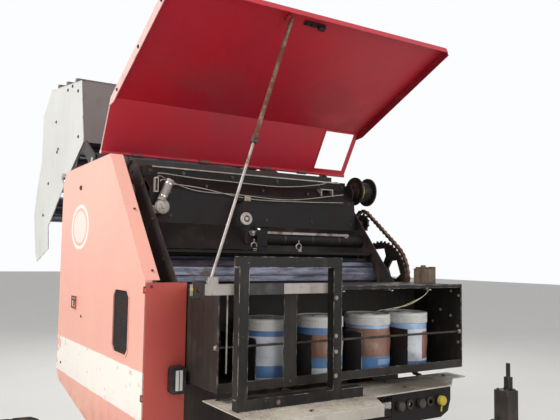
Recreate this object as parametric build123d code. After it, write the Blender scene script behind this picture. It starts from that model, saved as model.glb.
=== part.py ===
from build123d import *
import math
import os

# A towed round baler with a chamber of driven rollers. Lengths are in millimetres.
# X runs across the machine, Y runs from the hitch to the tailgate and Z runs up.
# While it is built, y = 0 is the front face of the right door and z = 0 is the ground.

# Sheet, bar and clearance
sheet = 3
side_sheet = 6
seat_gap = 0.3
fit_gap = 0.05
work_gap = 6

# Chamber and its rollers
chamber_y = 960
chamber_z = 1360
chamber_half = 600
drive_space = 142
roller_ring = 730
roller_radius = 100
roller_rib = 8
roller_ribs = 8
roller_end_gap = 3
roller_shaft_radius = 24
bearing_radius = 54
bearing_depth = 28
bearing_opening = 60
main_roller_angles = [60, 80, 100, 120, 161, 180, 199, 240, 262, 284]
gate_roller_angles = [-50, -29, -8, 13, 34]

# Wheels and axle
axle_y = 1120
tyre_radius = 422
tyre_width = 290
tyre_shoulder = 30
wheel_x = 1005
rim_radius = 196
rim_width = 230
disc_sheet = 12
hub_radius = 82
hub_length = 150
spindle_radius = 30
axle_size = 90
axle_half = wheel_x - hub_length - 5
stud_ring = 102.5
stud_radius = 9
stud_count = 6

# Right door and front panel
door_x = chamber_half + drive_space
door_depth = 30
door_bottom_front = 760
door_bottom_mid = (780, 892)
door_bottom_rear = (1330, 990)
door_rear = 1391
door_rear_low = 1040
door_rear_high = 2100
door_top_rear = (1331, 2168)
ridge_top = (521, 2174)
ridge_bottom = 1590
ridge_flange = 62
front_panel_inner = chamber_half - 34
lamp_width = 62
lamp_height = 108
lamp_depth = 40
lamp_centre_x = chamber_half + 8
lamp_centre_z = 1204
lens_width = 30
lens_height = 80
slot_front = 190
slot_rear = 395
slot_low = 1275
slot_high = 1548
slot_corner = 26
latch_place = (1048, 1444)
latch_size = (90, 70)
door_pin = (6 - door_x, 15)
door_pin_radius = 4
knuckle_radius = 6
knuckle_zs = [1136, 1560]
knuckle_height = 16

# Hood, drawn shut and then raised
hood_hinge_y = 660
hood_hinge_z = 2200
hood_open = 66
hood_half = chamber_half + 150
hood_crease = (382, 2166.3)
hood_lip = (-200.6, 1662.7)
hood_flange = 42
hood_fold = 25
hood_window_inner = hood_half - 236
hood_window_outer = hood_half - 28
hood_pin_radius = 9
hood_lug_sheet = 10

# Tailgate, drawn shut and then raised
gate_hinge_y = 1250
gate_hinge_z = 2240
gate_open = 75
gate_side_x = chamber_half + 20
gate_arm_sheet = 8
gate_pin_radius = 20
gate_bearing_depth = 12
gate_front_top = (1430, 2090)
gate_rear_top = (1840, 2100)
gate_rear_mid = (2150, 1360)
gate_rear_low = (2060, 1080)
gate_under = (1730, 1000)
gate_heel = (1590, 840)
gate_toe = (1400, 700)
gate_tip = (1090, 725)
gate_flap_low = (1022, 772)
gate_flap_high = (1022, 1128)
gate_seam_low = (1184, 1140)
gate_rib_depth = 30
gate_rib_places = [0.2, 0.5, 0.8]
gate_seam_high = (1330, 1630)

# Lift cylinders of the tailgate
ram_x = chamber_half + 72
ram_radius = 30
ram_rod_radius = 16
ram_base = (996, 1060)
ram_eye = (1290, 1830)
ram_pin_radius = 12.5
ram_eye_radius = 28
ram_eye_width = 34
ram_pin_reach = ram_x + 20
arm_boss_reach = chamber_half + 48
rod_pin_start = arm_boss_reach + 3
ram_lug_sheet = 8

# Twine box and twine
box_right = chamber_half + drive_space
box_left = -560
box_front = -280
box_back = 40
box_floor = 1190
box_top = 1580
box_lip = 36
box_rim = 14
divider_xs = [-386, -121, 142, 410]
divider_height = 190
divider_setback = 20
upright_x = (-272, -210)
pack_radius = 107
pack_height = 255
pack_xs = [-250, 16, 290, 524]
pack_y = -120
retaining_rod_z = 1357
retaining_rod_radius = 5
oiler_xs = (660, 736)
oiler_ys = (-118, -42)
oiler_height = 72

# Step frame and platform
post_size = 40
post_xs = [-530, -110]
frame_y = -400
frame_top = 1700
frame_foot_right = 20
platform_z = 1150
platform_sheet = 4
platform_left = -572
platform_back = -184
platform_edge = [(-572, -580), (-10, -580), (60, -445), (512, -428), (650, -310), (742, -300), (742, -184)]
brace_bar = (-720, 1560, 1600)
holder_xs = (170, 512)
holder_depth = 126
holder_sheet = 4
holder_holes = [210, 268, 326, 384, 442]
holder_hole_radius = 17

# Drawbar, hitch, jack and drive line
drawbar_width = 120
drawbar_height = 140
drawbar_rear = (3, 820)
drawbar_tip = (-1640, 690)
hitch_bore = 25
hitch_radius = 55
hitch_thickness = 40
jack_x = 154
jack_y = -1000
jack_tube = 54
jack_wall = 4
jack_bottom = 560
jack_top = 1268
jack_stem_radius = 7
jack_foot = 230
jack_foot_sheet = 12
support_xs = [-300, 300]
support_half = 25
support_front = -560
support_rear = 95
support_depth = 40
gearbox_size = (220, 240, 220)
gearbox_y = -120
gearbox_z = 1020
cross_shaft_radius = 25
shaft_guard_radius = 42
shaft_z = 1020
shaft_front = -1430
yoke_radius = 34
spline_bore = 17.5

# Left side drive
chain_width = 16
chain_height = 22
big_sprocket_radius = 200
tooth_pitch = 31.75
tooth_height = 10
chain_waist = 5
sprocket_sheet = 12
sprocket_spokes = 5
drive_x = chamber_half + 110
main_drive_x = chamber_half + 60
net_sprocket = (430, 1900, 58)
net_shaft_radius = 15
gearbox_sprocket_radius = 70
starter_sprocket_radius = 100
net_drive_roller = 161
starter_roller = 199
drum_place = (415, 2078)
drum_radius = 80
drum_core_radius = 52
drum_inner = chamber_half + 36
drum_length = 102
drum_pin_radius = 12
flange_sheet = 8

# Net and twine unit
net_beam_ys = (450, 510)
net_beam_zs = (2075, 2125)
net_cover_points = [(352, 1850), (372, 2010), (450, 2075)]
net_cover_low = (250, 1730)
net_sill = (215, 255, 1715, 1727)
net_roller_place = (318, 1790)
net_roller_radius = 34
actuator_place = (44 - chamber_half, 318)
actuator_radius = 19
actuator_disc_radius = 34
arm_xs = (-164, -124)
arm_ys = (262, 268)
arm_zs = (1762, 1992)

# Pick-up
pickup_pivot = (330, 660)
pickup_half = 740
reel_place = (-120, 460)
reel_shaft_radius = 30
pickup_pin_radius = 18
pickup_sheet = 8
tine_radius = 250
tine_bars = 4
tine_count = 16
tine_size = 6
stripper_radius = 180
gauge_radius = 140
gauge_width = 80
gauge_place = (40, 300)
gauge_x = pickup_half + 50
gauge_pin_radius = 12


def plate(points, x_from, x_to):
    # A flat piece seen from the side: points are (y, z)
    outline = Plane.YZ.offset(x_from) * Polygon(*points, align=None)
    return extrude(outline, amount=x_to - x_from, dir=(1, 0, 0))


def block(x_from, x_to, y_from, y_to, z_from, z_to):
    return Pos((x_from + x_to) / 2, (y_from + y_to) / 2, (z_from + z_to) / 2) * Box(
        x_to - x_from, y_to - y_from, z_to - z_from)


def across(place, radius, x_from, x_to):
    # A round piece along X
    centre = Pos(x_from, place[0], place[1])
    return centre * extrude(Plane.YZ * Circle(radius), amount=x_to - x_from)


def flats(place, radius, corners, x_from, x_to):
    # A bar with flats along X, its corners at the radius
    points = []
    for corner in range(corners):
        turn = 2 * math.pi * (corner + 0.5) / corners
        points.append((place[0] + radius * math.cos(turn), place[1] + radius * math.sin(turn)))
    return plate(points, x_from, x_to)


def bar(start, end, radius):
    axis = Vector(*end) - Vector(*start)
    return extrude(Plane(origin=start, z_dir=axis) * Circle(radius), amount=axis.length)


def strip(start, end, thick, x_from, x_to):
    # A flat sheet between two (y, z) points, thick towards the left of the way
    run = Vector(end[0] - start[0], end[1] - start[1]).normalized()
    side = (-run.Y * thick, run.X * thick)
    corners = [start, end, (end[0] + side[0], end[1] + side[1]), (start[0] + side[0], start[1] + side[1])]
    return plate(corners, x_from, x_to)


def folded(points, thick, x_from, x_to):
    # A folded sheet along (y, z) points, thick towards the left of the way
    runs = [Vector(b[0] - a[0], b[1] - a[1]).normalized() for a, b in zip(points, points[1:])]
    far = []
    for index, point in enumerate(points):
        before = runs[max(index - 1, 0)]
        after = runs[min(index, len(runs) - 1)]
        normal = Vector(-before.Y - after.Y, before.X + after.X).normalized()
        reach = thick / (normal.Y * after.X - normal.X * after.Y)
        far.append((point[0] + normal.X * reach, point[1] + normal.Y * reach))
    return plate(list(points) + far[::-1], x_from, x_to)


def on_ring(angle, radius=roller_ring):
    turn = math.radians(angle)
    return (chamber_y + radius * math.cos(turn), chamber_z + radius * math.sin(turn))


def turned(shape, hinge_y, hinge_z, angle):
    return Pos(0, hinge_y, hinge_z) * Rot(angle, 0, 0) * Pos(0, -hinge_y, -hinge_z) * shape


def turned_place(place, hinge_y, hinge_z, angle):
    turn = math.radians(angle)
    y = place[0] - hinge_y
    z = place[1] - hinge_z
    return (hinge_y + y * math.cos(turn) - z * math.sin(turn),
            hinge_z + y * math.sin(turn) + z * math.cos(turn))


def mirrored(shape):
    return mirror(shape, about=Plane.YZ)


def inset(points, wall, x_from, x_to):
    inner = offset(Polygon(*points, align=None), amount=-wall, kind=Kind.INTERSECTION)
    outline = Plane.YZ.offset(x_from) * inner
    return extrude(outline, amount=x_to - x_from, dir=(1, 0, 0))


# Chamber side plates
main_holes = [on_ring(angle) for angle in main_roller_angles]
side_outline = [
    (530, 2140), (1150, 2185), (1205, 2275), (1290, 2275), (1320, 2180),
    (1400, 2080), (1400, 1900), (1330, 1700), (1210, 1360), (1210, 1000), (1235, 570), (1150, 520),
    (430, 520), (150, 640)]


def side_plate(front):
    outline = side_outline + [(front, 740), (front, 1580)]
    body = plate(outline, chamber_half, chamber_half + side_sheet)
    for y, z in main_holes:
        body -= block(chamber_half - 1, chamber_half + side_sheet + 1, y - bearing_opening / 2,
                      y + bearing_opening / 2, z - bearing_opening / 2, z + bearing_opening / 2)
    body -= across((gate_hinge_y, gate_hinge_z), gate_pin_radius + seat_gap, chamber_half - 1,
                   chamber_half + side_sheet + 1)
    return body


side_plate_left = side_plate(box_back)
side_plate_right = mirrored(side_plate(sheet))

# Cross tubes between the plates: y, z, width, height
cross_tube_table = [
    (620, 2140, 80, 60),
    (1216, 2157, 56, 56),
    (470, 565, 80, 80),
    (1000, 545, 60, 40),
]
cross_tubes = []
for tube_y, tube_z, width, height in cross_tube_table:
    tube = block(-chamber_half, chamber_half, tube_y - width / 2, tube_y + width / 2,
                 tube_z - height / 2, tube_z + height / 2)
    cross_tubes.append(tube)

# Axle with its spindles and brackets
axle = block(-axle_half, axle_half, axle_y - axle_size / 2, axle_y + axle_size / 2,
             tyre_radius - axle_size / 2, tyre_radius + axle_size / 2)
for side in (-1, 1):
    axle += across((axle_y, tyre_radius), spindle_radius, min(side * axle_half, side * wheel_x),
                   max(side * axle_half, side * wheel_x))
    bracket_x = side * (chamber_half + side_sheet / 2)
    bracket = plate([(axle_y - 160, 520), (axle_y + 30, 520), (axle_y + 30, tyre_radius + axle_size / 2),
                     (axle_y - 45, tyre_radius + axle_size / 2)],
                    bracket_x - 20, bracket_x + 20)
    axle += bracket


# Ribbed rollers
def ribbed_roller(place, x_half, shaft_right, shaft_left):
    points = []
    foot = roller_radius - roller_rib
    for rib in range(roller_ribs):
        middle = 360 / roller_ribs * rib
        for radius, step in ((foot, -11), (roller_radius, -7), (roller_radius, 7), (foot, 11)):
            turn = math.radians(middle + step)
            points.append((place[0] + radius * math.cos(turn), place[1] + radius * math.sin(turn)))
    body = plate(points, -x_half, x_half)
    return body + flats(place, roller_shaft_radius, 6, -shaft_right, shaft_left)


roller_half = chamber_half - roller_end_gap
shaft_half = chamber_half + side_sheet - seat_gap
long_shafts = {
    net_drive_roller: drive_x + sprocket_sheet + 10,
    starter_roller: main_drive_x + sprocket_sheet + 10,
}
main_rollers = []
for angle, hole in zip(main_roller_angles, main_holes):
    main_rollers.append(ribbed_roller(hole, roller_half, shaft_half, long_shafts.get(angle, shaft_half)))

left_bearings = []
right_bearings = []
for angle, hole in zip(main_roller_angles, main_holes):
    bearing_start = chamber_half + side_sheet
    housing = flats(hole, bearing_radius, 8, bearing_start, bearing_start + bearing_depth)
    right_bearings.append(mirrored(housing))
    if angle in long_shafts:
        housing -= flats(hole, roller_shaft_radius + seat_gap, 6, chamber_half, bearing_start + bearing_depth + 1)
    left_bearings.append(housing)


# Wheels
def tyre(side):
    half = tyre_width / 2
    half_line = [(half - tyre_shoulder, tyre_radius), (half, tyre_radius - tyre_shoulder),
                 (half, rim_radius + seat_gap)]
    line = half_line + [(-x, radius) for x, radius in reversed(half_line)]
    ring = revolve(make_face(Polyline(*line, close=True)), Axis.X)
    return Pos(side * wheel_x, axle_y, tyre_radius) * ring


def rim(side):
    half = rim_width / 2
    wall = 6
    back = 40 - hub_length
    bore = spindle_radius + fit_gap
    line = [
        (-half, rim_radius), (-half, rim_radius - wall), (0, rim_radius - wall), (0, hub_radius), (back, hub_radius),
        (back, bore), (disc_sheet - 3, bore), (disc_sheet - 3, 0), (disc_sheet, 0), (disc_sheet, rim_radius - wall),
        (half, rim_radius - wall), (half, rim_radius)]
    ring = revolve(make_face(Polyline(*line, close=True)), Axis.X)
    for stud in range(stud_count):
        turn = math.radians(360 / stud_count * stud)
        place = (stud_ring * math.cos(turn), stud_ring * math.sin(turn))
        ring += flats(place, stud_radius * 1.4, 6, disc_sheet, disc_sheet + 18)
    if side < 0:
        ring = mirrored(ring)
    return Pos(side * wheel_x, axle_y, tyre_radius) * ring


tyre_left = tyre(1)
tyre_right = tyre(-1)
rim_left = rim(1)
rim_right = rim(-1)

# Right door
door_outline = [
    (work_gap + sheet, door_bottom_front), door_bottom_mid, door_bottom_rear, (door_rear, door_rear_low),
    (door_rear, door_rear_high), door_top_rear, ridge_top, (work_gap + sheet, ridge_bottom + 10)]
door = plate(door_outline, -door_x, -door_x + door_depth)
door -= inset(door_outline, sheet, -door_x + sheet, -door_x + door_depth + 1)
ridge = strip((work_gap + sheet, ridge_bottom + 10), ridge_top, -sheet, -door_x, -door_x + ridge_flange)
door += ridge
slot = block(-door_x - 1, -door_x + door_depth, slot_front, slot_rear, slot_low, slot_high)
door -= chamfer(slot.edges().filter_by(Axis.X), slot_corner)
slot_grille = block(-door_x + sheet, -door_x + sheet + 2, slot_front - 15, slot_rear + 15, slot_low - 15,
                    slot_high + 15)
door += block(-door_x - 6, -door_x, latch_place[0] - latch_size[0] / 2, latch_place[0] + latch_size[0] / 2,
              latch_place[1] - latch_size[1] / 2, latch_place[1] + latch_size[1] / 2)
notch_half = knuckle_height / 2 + work_gap
pin_x, pin_y = door_pin
barrel_start = knuckle_zs[0] + notch_half
barrel_end = knuckle_zs[1] - notch_half
door += bar((pin_x, pin_y, barrel_start), (pin_x, pin_y, barrel_end), knuckle_radius)
for knuckle_z in knuckle_zs:
    door -= block(-door_x - 1, -door_x + door_depth + 1, work_gap, 30, knuckle_z - notch_half,
                  knuckle_z + notch_half)
pin_start = (pin_x, pin_y, knuckle_zs[0] - knuckle_height / 2)
pin_end = (pin_x, pin_y, knuckle_zs[1] + knuckle_height / 2)
door -= bar(pin_start, pin_end, door_pin_radius + fit_gap)

# Front panel beside the door, with its lamp
front_panel = block(-door_x + sheet, -front_panel_inner, 0, sheet, door_bottom_front, ridge_bottom)
front_panel += bar(pin_start, pin_end, door_pin_radius)
for knuckle_z in knuckle_zs:
    low = knuckle_z - knuckle_height / 2
    high = knuckle_z + knuckle_height / 2
    front_panel += bar((pin_x, pin_y, low), (pin_x, pin_y, high), knuckle_radius)
    front_panel += block(pin_x - knuckle_radius + 1, pin_x + knuckle_radius - 1, sheet, pin_y, low, high)
lamp_x = -lamp_centre_x
lamp_body = block(lamp_x - lamp_width / 2, lamp_x + lamp_width / 2, -lamp_depth, 0,
                  lamp_centre_z - lamp_height / 2, lamp_centre_z + lamp_height / 2)
lamp_body = chamfer(lamp_body.edges().filter_by(Axis.Y), 9)
lens_pocket = block(lamp_x - lens_width / 2, lamp_x + lens_width / 2, -lamp_depth - 1, -lamp_depth + 12,
                    lamp_centre_z - lens_height / 2, lamp_centre_z + lens_height / 2)
lamp_body -= lens_pocket
lamp_lens = block(lamp_x - lens_width / 2 + seat_gap, lamp_x + lens_width / 2 - seat_gap, -lamp_depth - 4,
                  -lamp_depth + 12, lamp_centre_z - lens_height / 2 + seat_gap,
                  lamp_centre_z + lens_height / 2 - seat_gap)

# Hood
hood_hinge = (hood_hinge_y, hood_hinge_z)
slope_run = Vector(hood_lip[0] - hood_crease[0], hood_lip[1] - hood_crease[1]).normalized()
top_run = Vector(hood_crease[0] - hood_hinge_y, hood_crease[1] - hood_hinge_z).normalized()


def on_slope(back, inward):
    # A point of the hood's slope, so far back from the lip and so far under the sheet
    return (hood_lip[0] - slope_run.X * back - slope_run.Y * inward,
            hood_lip[1] - slope_run.Y * back + slope_run.X * inward)


slope_length = math.dist(hood_crease, hood_lip)
hood = folded([hood_hinge, hood_crease, hood_lip, on_slope(0, hood_fold)], -sheet, -hood_half, hood_half)
half_sheet = sheet / 2
window = block(hood_window_inner, hood_window_outer, hood_crease[0] + 8, hood_hinge_y - 30, 2100, 2230)
hood -= window
hood += across(hood_hinge, hood_pin_radius, -hood_half, hood_half)
hood += plate([on_slope(20, -half_sheet), on_slope(62, -half_sheet), on_slope(62, 22), on_slope(20, 22)],
              -196, -184)
hood = turned(hood, hood_hinge_y, hood_hinge_z, -hood_open)
flange_line = [
    hood_lip,
    on_slope(0, hood_flange),
    on_slope(slope_length - 20, hood_flange),
    (hood_crease[0] - top_run.X * hood_flange, hood_crease[1] - top_run.Y * hood_flange),
    hood_crease,
]
hood_flanges = []
for x_from in (-hood_half, hood_half - sheet):
    flange = plate(flange_line, x_from, x_from + sheet)
    hood_flanges.append(turned(flange, hood_hinge_y, hood_hinge_z, -hood_open))

# Telescopic stay of the hood
stay_foot = (-630, -345, 1606)
stay_swing_axis = Vector(0, 0.9853, -0.1711)
stay_shut = (-166, hood_lip[0] + 37.5, hood_lip[1] + 19.5)
stay_top_yz = turned_place(stay_shut[1:], hood_hinge_y, hood_hinge_z, -hood_open)
stay_top = (stay_shut[0], stay_top_yz[0], stay_top_yz[1])
stay_way = Vector(*stay_top) - Vector(*stay_foot)
stay_run = stay_way.normalized()
stay_rod_radius = 6
stay_tube_radius = 9
stay_split = 0.48
stay_rod_end = Vector(*stay_foot) + stay_way * (stay_split + 0.04)
stay_tube_start = Vector(*stay_foot) + stay_way * stay_split
stay_tube_end = Vector(*stay_top) - stay_run * 4
stay_eye_radius = 11
stay_pin_radius = 4
stay_eye_start = Vector(*stay_foot) - stay_swing_axis * stay_eye_radius
stay_eye_end = Vector(*stay_foot) + stay_swing_axis * stay_eye_radius
stay_rod = bar(stay_foot, tuple(stay_rod_end), stay_rod_radius)
stay_rod += bar(tuple(stay_eye_start), tuple(stay_eye_end), stay_eye_radius)
stay_pin_start = Vector(*stay_foot) - stay_swing_axis * 20
stay_pin_end = Vector(*stay_foot) + stay_swing_axis * 14
stay_rod -= bar(tuple(stay_pin_start), tuple(stay_pin_end), stay_pin_radius + fit_gap)
stay_tube = bar(tuple(stay_tube_start), tuple(stay_tube_end), stay_tube_radius)
stay_tube -= bar(tuple(stay_tube_start - stay_run), tuple(stay_tube_end - stay_run * 10), stay_rod_radius + fit_gap)

# Tailgate
gate_outline = [gate_front_top, gate_rear_top, gate_rear_mid, gate_rear_low, gate_under, gate_heel, gate_toe,
                gate_tip, gate_flap_low, gate_flap_high, gate_seam_low, gate_seam_high]
gate_holes = [on_ring(angle) for angle in gate_roller_angles]


def gate_side():
    return plate(gate_outline, gate_side_x, gate_side_x + side_sheet)


gate_arm_outline = [
    (1210, 2262), (1230, 2285), (1270, 2285), (1426, 2125), (1426, 2086), (1560, 2080), (1500, 1990), (1440, 1900),
    (1380, 1820), (1330, 1790), (1262, 1790), (1255, 1860), (1330, 1905), (1375, 1935), (1392, 1990), (1385, 2050),
    (1330, 2110), (1215, 2200)]


def gate_arm():
    arm = plate(gate_arm_outline, gate_side_x - gate_arm_sheet, gate_side_x)
    arm -= across((gate_hinge_y, gate_hinge_z), gate_pin_radius + fit_gap, gate_side_x - 20, gate_side_x + 20)
    arm += across(ram_eye, ram_pin_radius, gate_side_x - gate_arm_sheet, arm_boss_reach)
    return arm


gate_side_left = turned(gate_side(), gate_hinge_y, gate_hinge_z, gate_open)
gate_arm_left = turned(gate_arm(), gate_hinge_y, gate_hinge_z, gate_open)
gate_side_right = mirrored(gate_side_left)
gate_arm_right = mirrored(gate_arm_left)
gate_skin = folded([gate_front_top, gate_rear_top, gate_rear_mid, gate_rear_low, gate_under], -sheet,
                   -gate_side_x, gate_side_x)
rear_run = Vector(*gate_rear_mid) - Vector(*gate_rear_top)
for share in gate_rib_places:
    rib_start = Vector(*gate_rear_top) + rear_run * (share - 0.03)
    rib_end = Vector(*gate_rear_top) + rear_run * (share + 0.03)
    gate_skin += strip((rib_start.X, rib_start.Y), (rib_end.X, rib_end.Y), gate_rib_depth,
                       sheet - gate_side_x, gate_side_x - sheet)
gate_skin = turned(gate_skin, gate_hinge_y, gate_hinge_z, gate_open)
gate_rollers = []
for hole in gate_holes:
    gate_shaft_half = gate_side_x - gate_bearing_depth - seat_gap
    roller = ribbed_roller(hole, roller_half, gate_shaft_half, gate_shaft_half)
    gate_rollers.append(turned(roller, gate_hinge_y, gate_hinge_z, gate_open))
gate_bearings = []
for hole in gate_holes:
    housing = flats(hole, bearing_radius, 8, gate_side_x - gate_bearing_depth, gate_side_x)
    housing = turned(housing, gate_hinge_y, gate_hinge_z, gate_open)
    gate_bearings.append(housing)
    gate_bearings.append(mirrored(housing))
gate_pins = []
for side in (-1, 1):
    near = side * (chamber_half - 8)
    far = side * (gate_side_x + 4)
    pin = across((gate_hinge_y, gate_hinge_z), gate_pin_radius, min(near, far), max(near, far))
    gate_pins.append(pin)


# Lift cylinders
ram_eye_open = turned_place(ram_eye, gate_hinge_y, gate_hinge_z, gate_open)
ram_start = Vector(ram_x, *ram_base)
ram_end = Vector(ram_x, *ram_eye_open)
ram_run = (ram_end - ram_start).normalized()
ram_shut_length = math.dist(ram_base, ram_eye)
ram_barrel_end = ram_start + ram_run * (ram_shut_length - 60)
ram_rod_start = ram_end - ram_run * (ram_shut_length - 130)


def eye_ring(place):
    ring = across(place, ram_eye_radius, ram_x - ram_eye_width / 2, ram_x + ram_eye_width / 2)
    return ring


def ram_barrel():
    body = bar(tuple(ram_start + ram_run * 20), tuple(ram_barrel_end), ram_radius)
    body += eye_ring(ram_base)
    body -= across(ram_base, ram_pin_radius + fit_gap, ram_x - ram_eye_width, ram_x + ram_eye_width)
    body -= bar(tuple(ram_start + ram_run * 60), tuple(ram_barrel_end + ram_run), ram_rod_radius + fit_gap)
    return body


def ram_rod():
    body = bar(tuple(ram_rod_start), tuple(ram_end - ram_run * 15), ram_rod_radius)
    body += eye_ring(ram_eye_open)
    body += across(ram_eye_open, ram_pin_radius, rod_pin_start, ram_pin_reach)
    return body


ram_barrel_left = ram_barrel()
ram_rod_left = ram_rod()
ram_barrel_right = mirrored(ram_barrel_left)
ram_rod_right = mirrored(ram_rod_left)
ram_lugs = []
for side in (-1, 1):
    near = side * (chamber_half + side_sheet)
    far = side * ram_pin_reach
    lug = across(ram_base, ram_pin_radius, min(near, far), max(near, far))
    lug_face = near + side * ram_lug_sheet
    lug += flats(ram_base, ram_eye_radius + 6, 8, min(near, lug_face), max(near, lug_face))
    ram_lugs.append(lug)

# Twine box
twine_box = block(box_left, box_right, box_front, box_back, box_floor, box_floor + sheet)
twine_box += block(box_left, box_right, box_back - sheet, box_back, box_floor, box_top)
twine_box += block(box_left, box_right, box_front, box_back, box_top - sheet, box_top)
twine_box += block(box_left, box_right, box_front, box_front + sheet, box_floor, box_floor + box_lip)
twine_box += block(box_left, box_right, box_front, box_front + sheet, box_top - box_rim, box_top)
twine_box += block(box_left, box_left + sheet, box_front, box_back, box_floor, box_top)
twine_box += block(box_right - sheet, box_right, box_front, box_back, box_floor, box_top)
for divider_x in divider_xs:
    twine_box += block(divider_x, divider_x + sheet, box_front + divider_setback, box_back - sheet,
                       box_floor + sheet, box_floor + divider_height)
twine_box += block(*upright_x, box_front - sheet, box_front, box_floor, box_top)
packs = []
for pack_x in pack_xs:
    pack = Pos(pack_x, pack_y, box_floor + sheet + seat_gap + pack_height / 2) * Cylinder(pack_radius, pack_height)
    packs.append(pack)
rod_y = box_front + divider_setback / 2
twine_box += bar((box_left + sheet, rod_y, retaining_rod_z), (box_right - sheet, rod_y, retaining_rod_z),
                 retaining_rod_radius)

oiler = block(*oiler_xs, *oiler_ys, box_top, box_top + oiler_height)
oiler -= block(oiler_xs[0] + sheet, oiler_xs[1] - sheet, oiler_ys[0] + sheet, oiler_ys[1] - sheet,
               box_top + sheet, box_top + oiler_height + 1)
oiler += block(oiler_xs[1] - 22, oiler_xs[1], oiler_ys[0], oiler_ys[0] + 22, box_top, box_top + oiler_height + 10)

# Step frame: two posts with top and foot bars, and the bar that holds the stay
post_half = post_size / 2
step_frame = block(post_xs[0] - post_half, post_xs[1] + post_half, frame_y - post_half, frame_y + post_half,
                   frame_top - post_size, frame_top)
step_frame += block(post_xs[0] - post_half, frame_foot_right, frame_y - post_half, frame_y + post_half,
                    platform_z, platform_z + post_size)
for post_x in post_xs:
    step_frame += block(post_x - post_half, post_x + post_half, frame_y - post_half, frame_y + post_half,
                        platform_z, frame_top)
stay_bar = block(brace_bar[0], post_xs[1] + post_half, frame_y + post_half, frame_y + post_half + 8,
                 brace_bar[1], brace_bar[2])
stay_bar += block(stay_foot[0] - 16, stay_foot[0] + 16, frame_y + post_half, stay_foot[1] - stay_eye_radius - 2,
                  brace_bar[1], brace_bar[2] + 24)
stay_bar += bar(tuple(stay_pin_start), tuple(stay_pin_end), stay_pin_radius)
platform_line = platform_edge + [(platform_left, platform_back)]
platform = extrude(Plane.XY.offset(platform_z - platform_sheet) * Polygon(*platform_line, align=None),
                   amount=platform_sheet)
deck_left, deck_front = platform_edge[0]
platform += block(deck_left, platform_edge[1][0], deck_front, deck_front + 4, platform_z - 40, platform_z)
holder_y = platform_edge[3][1] + 6
holder_top = platform_z - platform_sheet
holder_low = holder_top - holder_depth
hose_holder = extrude(Plane.XZ.offset(-holder_y) * Polygon(
    (holder_xs[0], holder_top), (holder_xs[0], holder_low), (holder_xs[1] - 60, holder_low),
    (holder_xs[1] - 16, holder_low + 22), (holder_xs[1], holder_low + 70), (holder_xs[1], holder_top),
    align=None), amount=-holder_sheet)
for hole_x in holder_holes:
    hole = Plane.XZ.offset(10 - holder_y) * Pos(hole_x, holder_low + 74) * RegularPolygon(holder_hole_radius, 8)
    hose_holder -= extrude(hole, amount=-20)

# Drawbar, drawn in the side view, and its hitch ring
drawbar_half = drawbar_width / 2
rear_y, rear_z = drawbar_rear
tip_y, tip_z = drawbar_tip
drawbar = plate([(rear_y, rear_z - drawbar_height / 2), (rear_y, rear_z + drawbar_height / 2),
                 (tip_y, tip_z + 45), (tip_y, tip_z - 45)], -drawbar_half, drawbar_half)
hitch = Pos(0, tip_y - 90, tip_z) * Cylinder(hitch_radius, hitch_thickness)
hitch += block(-30, 30, tip_y - 70, tip_y, tip_z - hitch_thickness / 2, tip_z + hitch_thickness / 2)
hitch -= Pos(0, tip_y - 90, tip_z) * Cylinder(hitch_bore, hitch_thickness + 2)
drawbar += block(-chamber_half, chamber_half, box_back, box_back + 100, rear_z - 50, rear_z + 50)
drawbar += block(-drawbar_half, drawbar_half, rear_y, box_back, rear_z - 50, rear_z + 50)


def drawbar_top(y):
    share = (rear_y - y) / (rear_y - tip_y)
    return rear_z + drawbar_height / 2 + share * (tip_z + 45 - rear_z - drawbar_height / 2)


# Jack
jack_outer = block(jack_x - jack_tube / 2, jack_x + jack_tube / 2, jack_y - jack_tube / 2, jack_y + jack_tube / 2,
                   jack_bottom, jack_top)
inner_half = jack_tube / 2 - jack_wall
jack_outer -= block(jack_x - inner_half, jack_x + inner_half, jack_y - inner_half, jack_y + inner_half,
                    jack_bottom - 1, jack_top - jack_wall)
jack_outer += block(drawbar_half, jack_x - jack_tube / 2, jack_y - 40, jack_y + 40, 720, 860)
jack_outer += block(jack_x - jack_tube / 2 - 34, jack_x - jack_tube / 2, jack_y - 14, jack_y + 14, 1120, 1176)
jack_outer += block(jack_x + 2, jack_x + 22, jack_y - 10, jack_y + 10, jack_top, jack_top + 42)
jack_outer += Pos(jack_x + 12, jack_y, jack_top + 64) * Cylinder(jack_stem_radius, 46)
leg_half = inner_half - seat_gap
jack_leg_body = block(jack_x - leg_half, jack_x + leg_half, jack_y - leg_half, jack_y + leg_half, jack_foot_sheet,
                      jack_bottom + 380)
foot_half = jack_foot / 2
jack_leg_body += block(jack_x - foot_half, jack_x + foot_half, jack_y - foot_half, jack_y + foot_half, 0,
                       jack_foot_sheet)

# Gearbox, cross shaft and drive shaft
gear_x, gear_y, gear_z = gearbox_size
gearbox = Pos(0, gearbox_y, gearbox_z) * Box(gear_x, gear_y, gear_z)
gearbox = chamfer(gearbox.edges().filter_by(Axis.X), 30)
gearbox_seat_front = gearbox_y - gear_y / 2 + 30
gearbox_seat_rear = rear_y - 10
drawbar += plate([(gearbox_seat_front, drawbar_top(gearbox_seat_front) - 10),
                  (gearbox_seat_rear, drawbar_top(gearbox_seat_rear) - 10),
                  (gearbox_seat_rear, gearbox_z - gear_z / 2), (gearbox_seat_front, gearbox_z - gear_z / 2)],
                 -drawbar_half, drawbar_half)
cross_shaft = flats((gearbox_y, gearbox_z), cross_shaft_radius, 6, gear_x / 2, main_drive_x + sprocket_sheet + 10)
gearbox_front = gearbox_y - gear_y / 2
shaft_guard = bar((0, shaft_front + 60, shaft_z), (0, gearbox_front - 60, shaft_z), shaft_guard_radius)
shaft_front_yoke = bar((0, shaft_front, shaft_z), (0, shaft_front + 60, shaft_z), yoke_radius)
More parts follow.
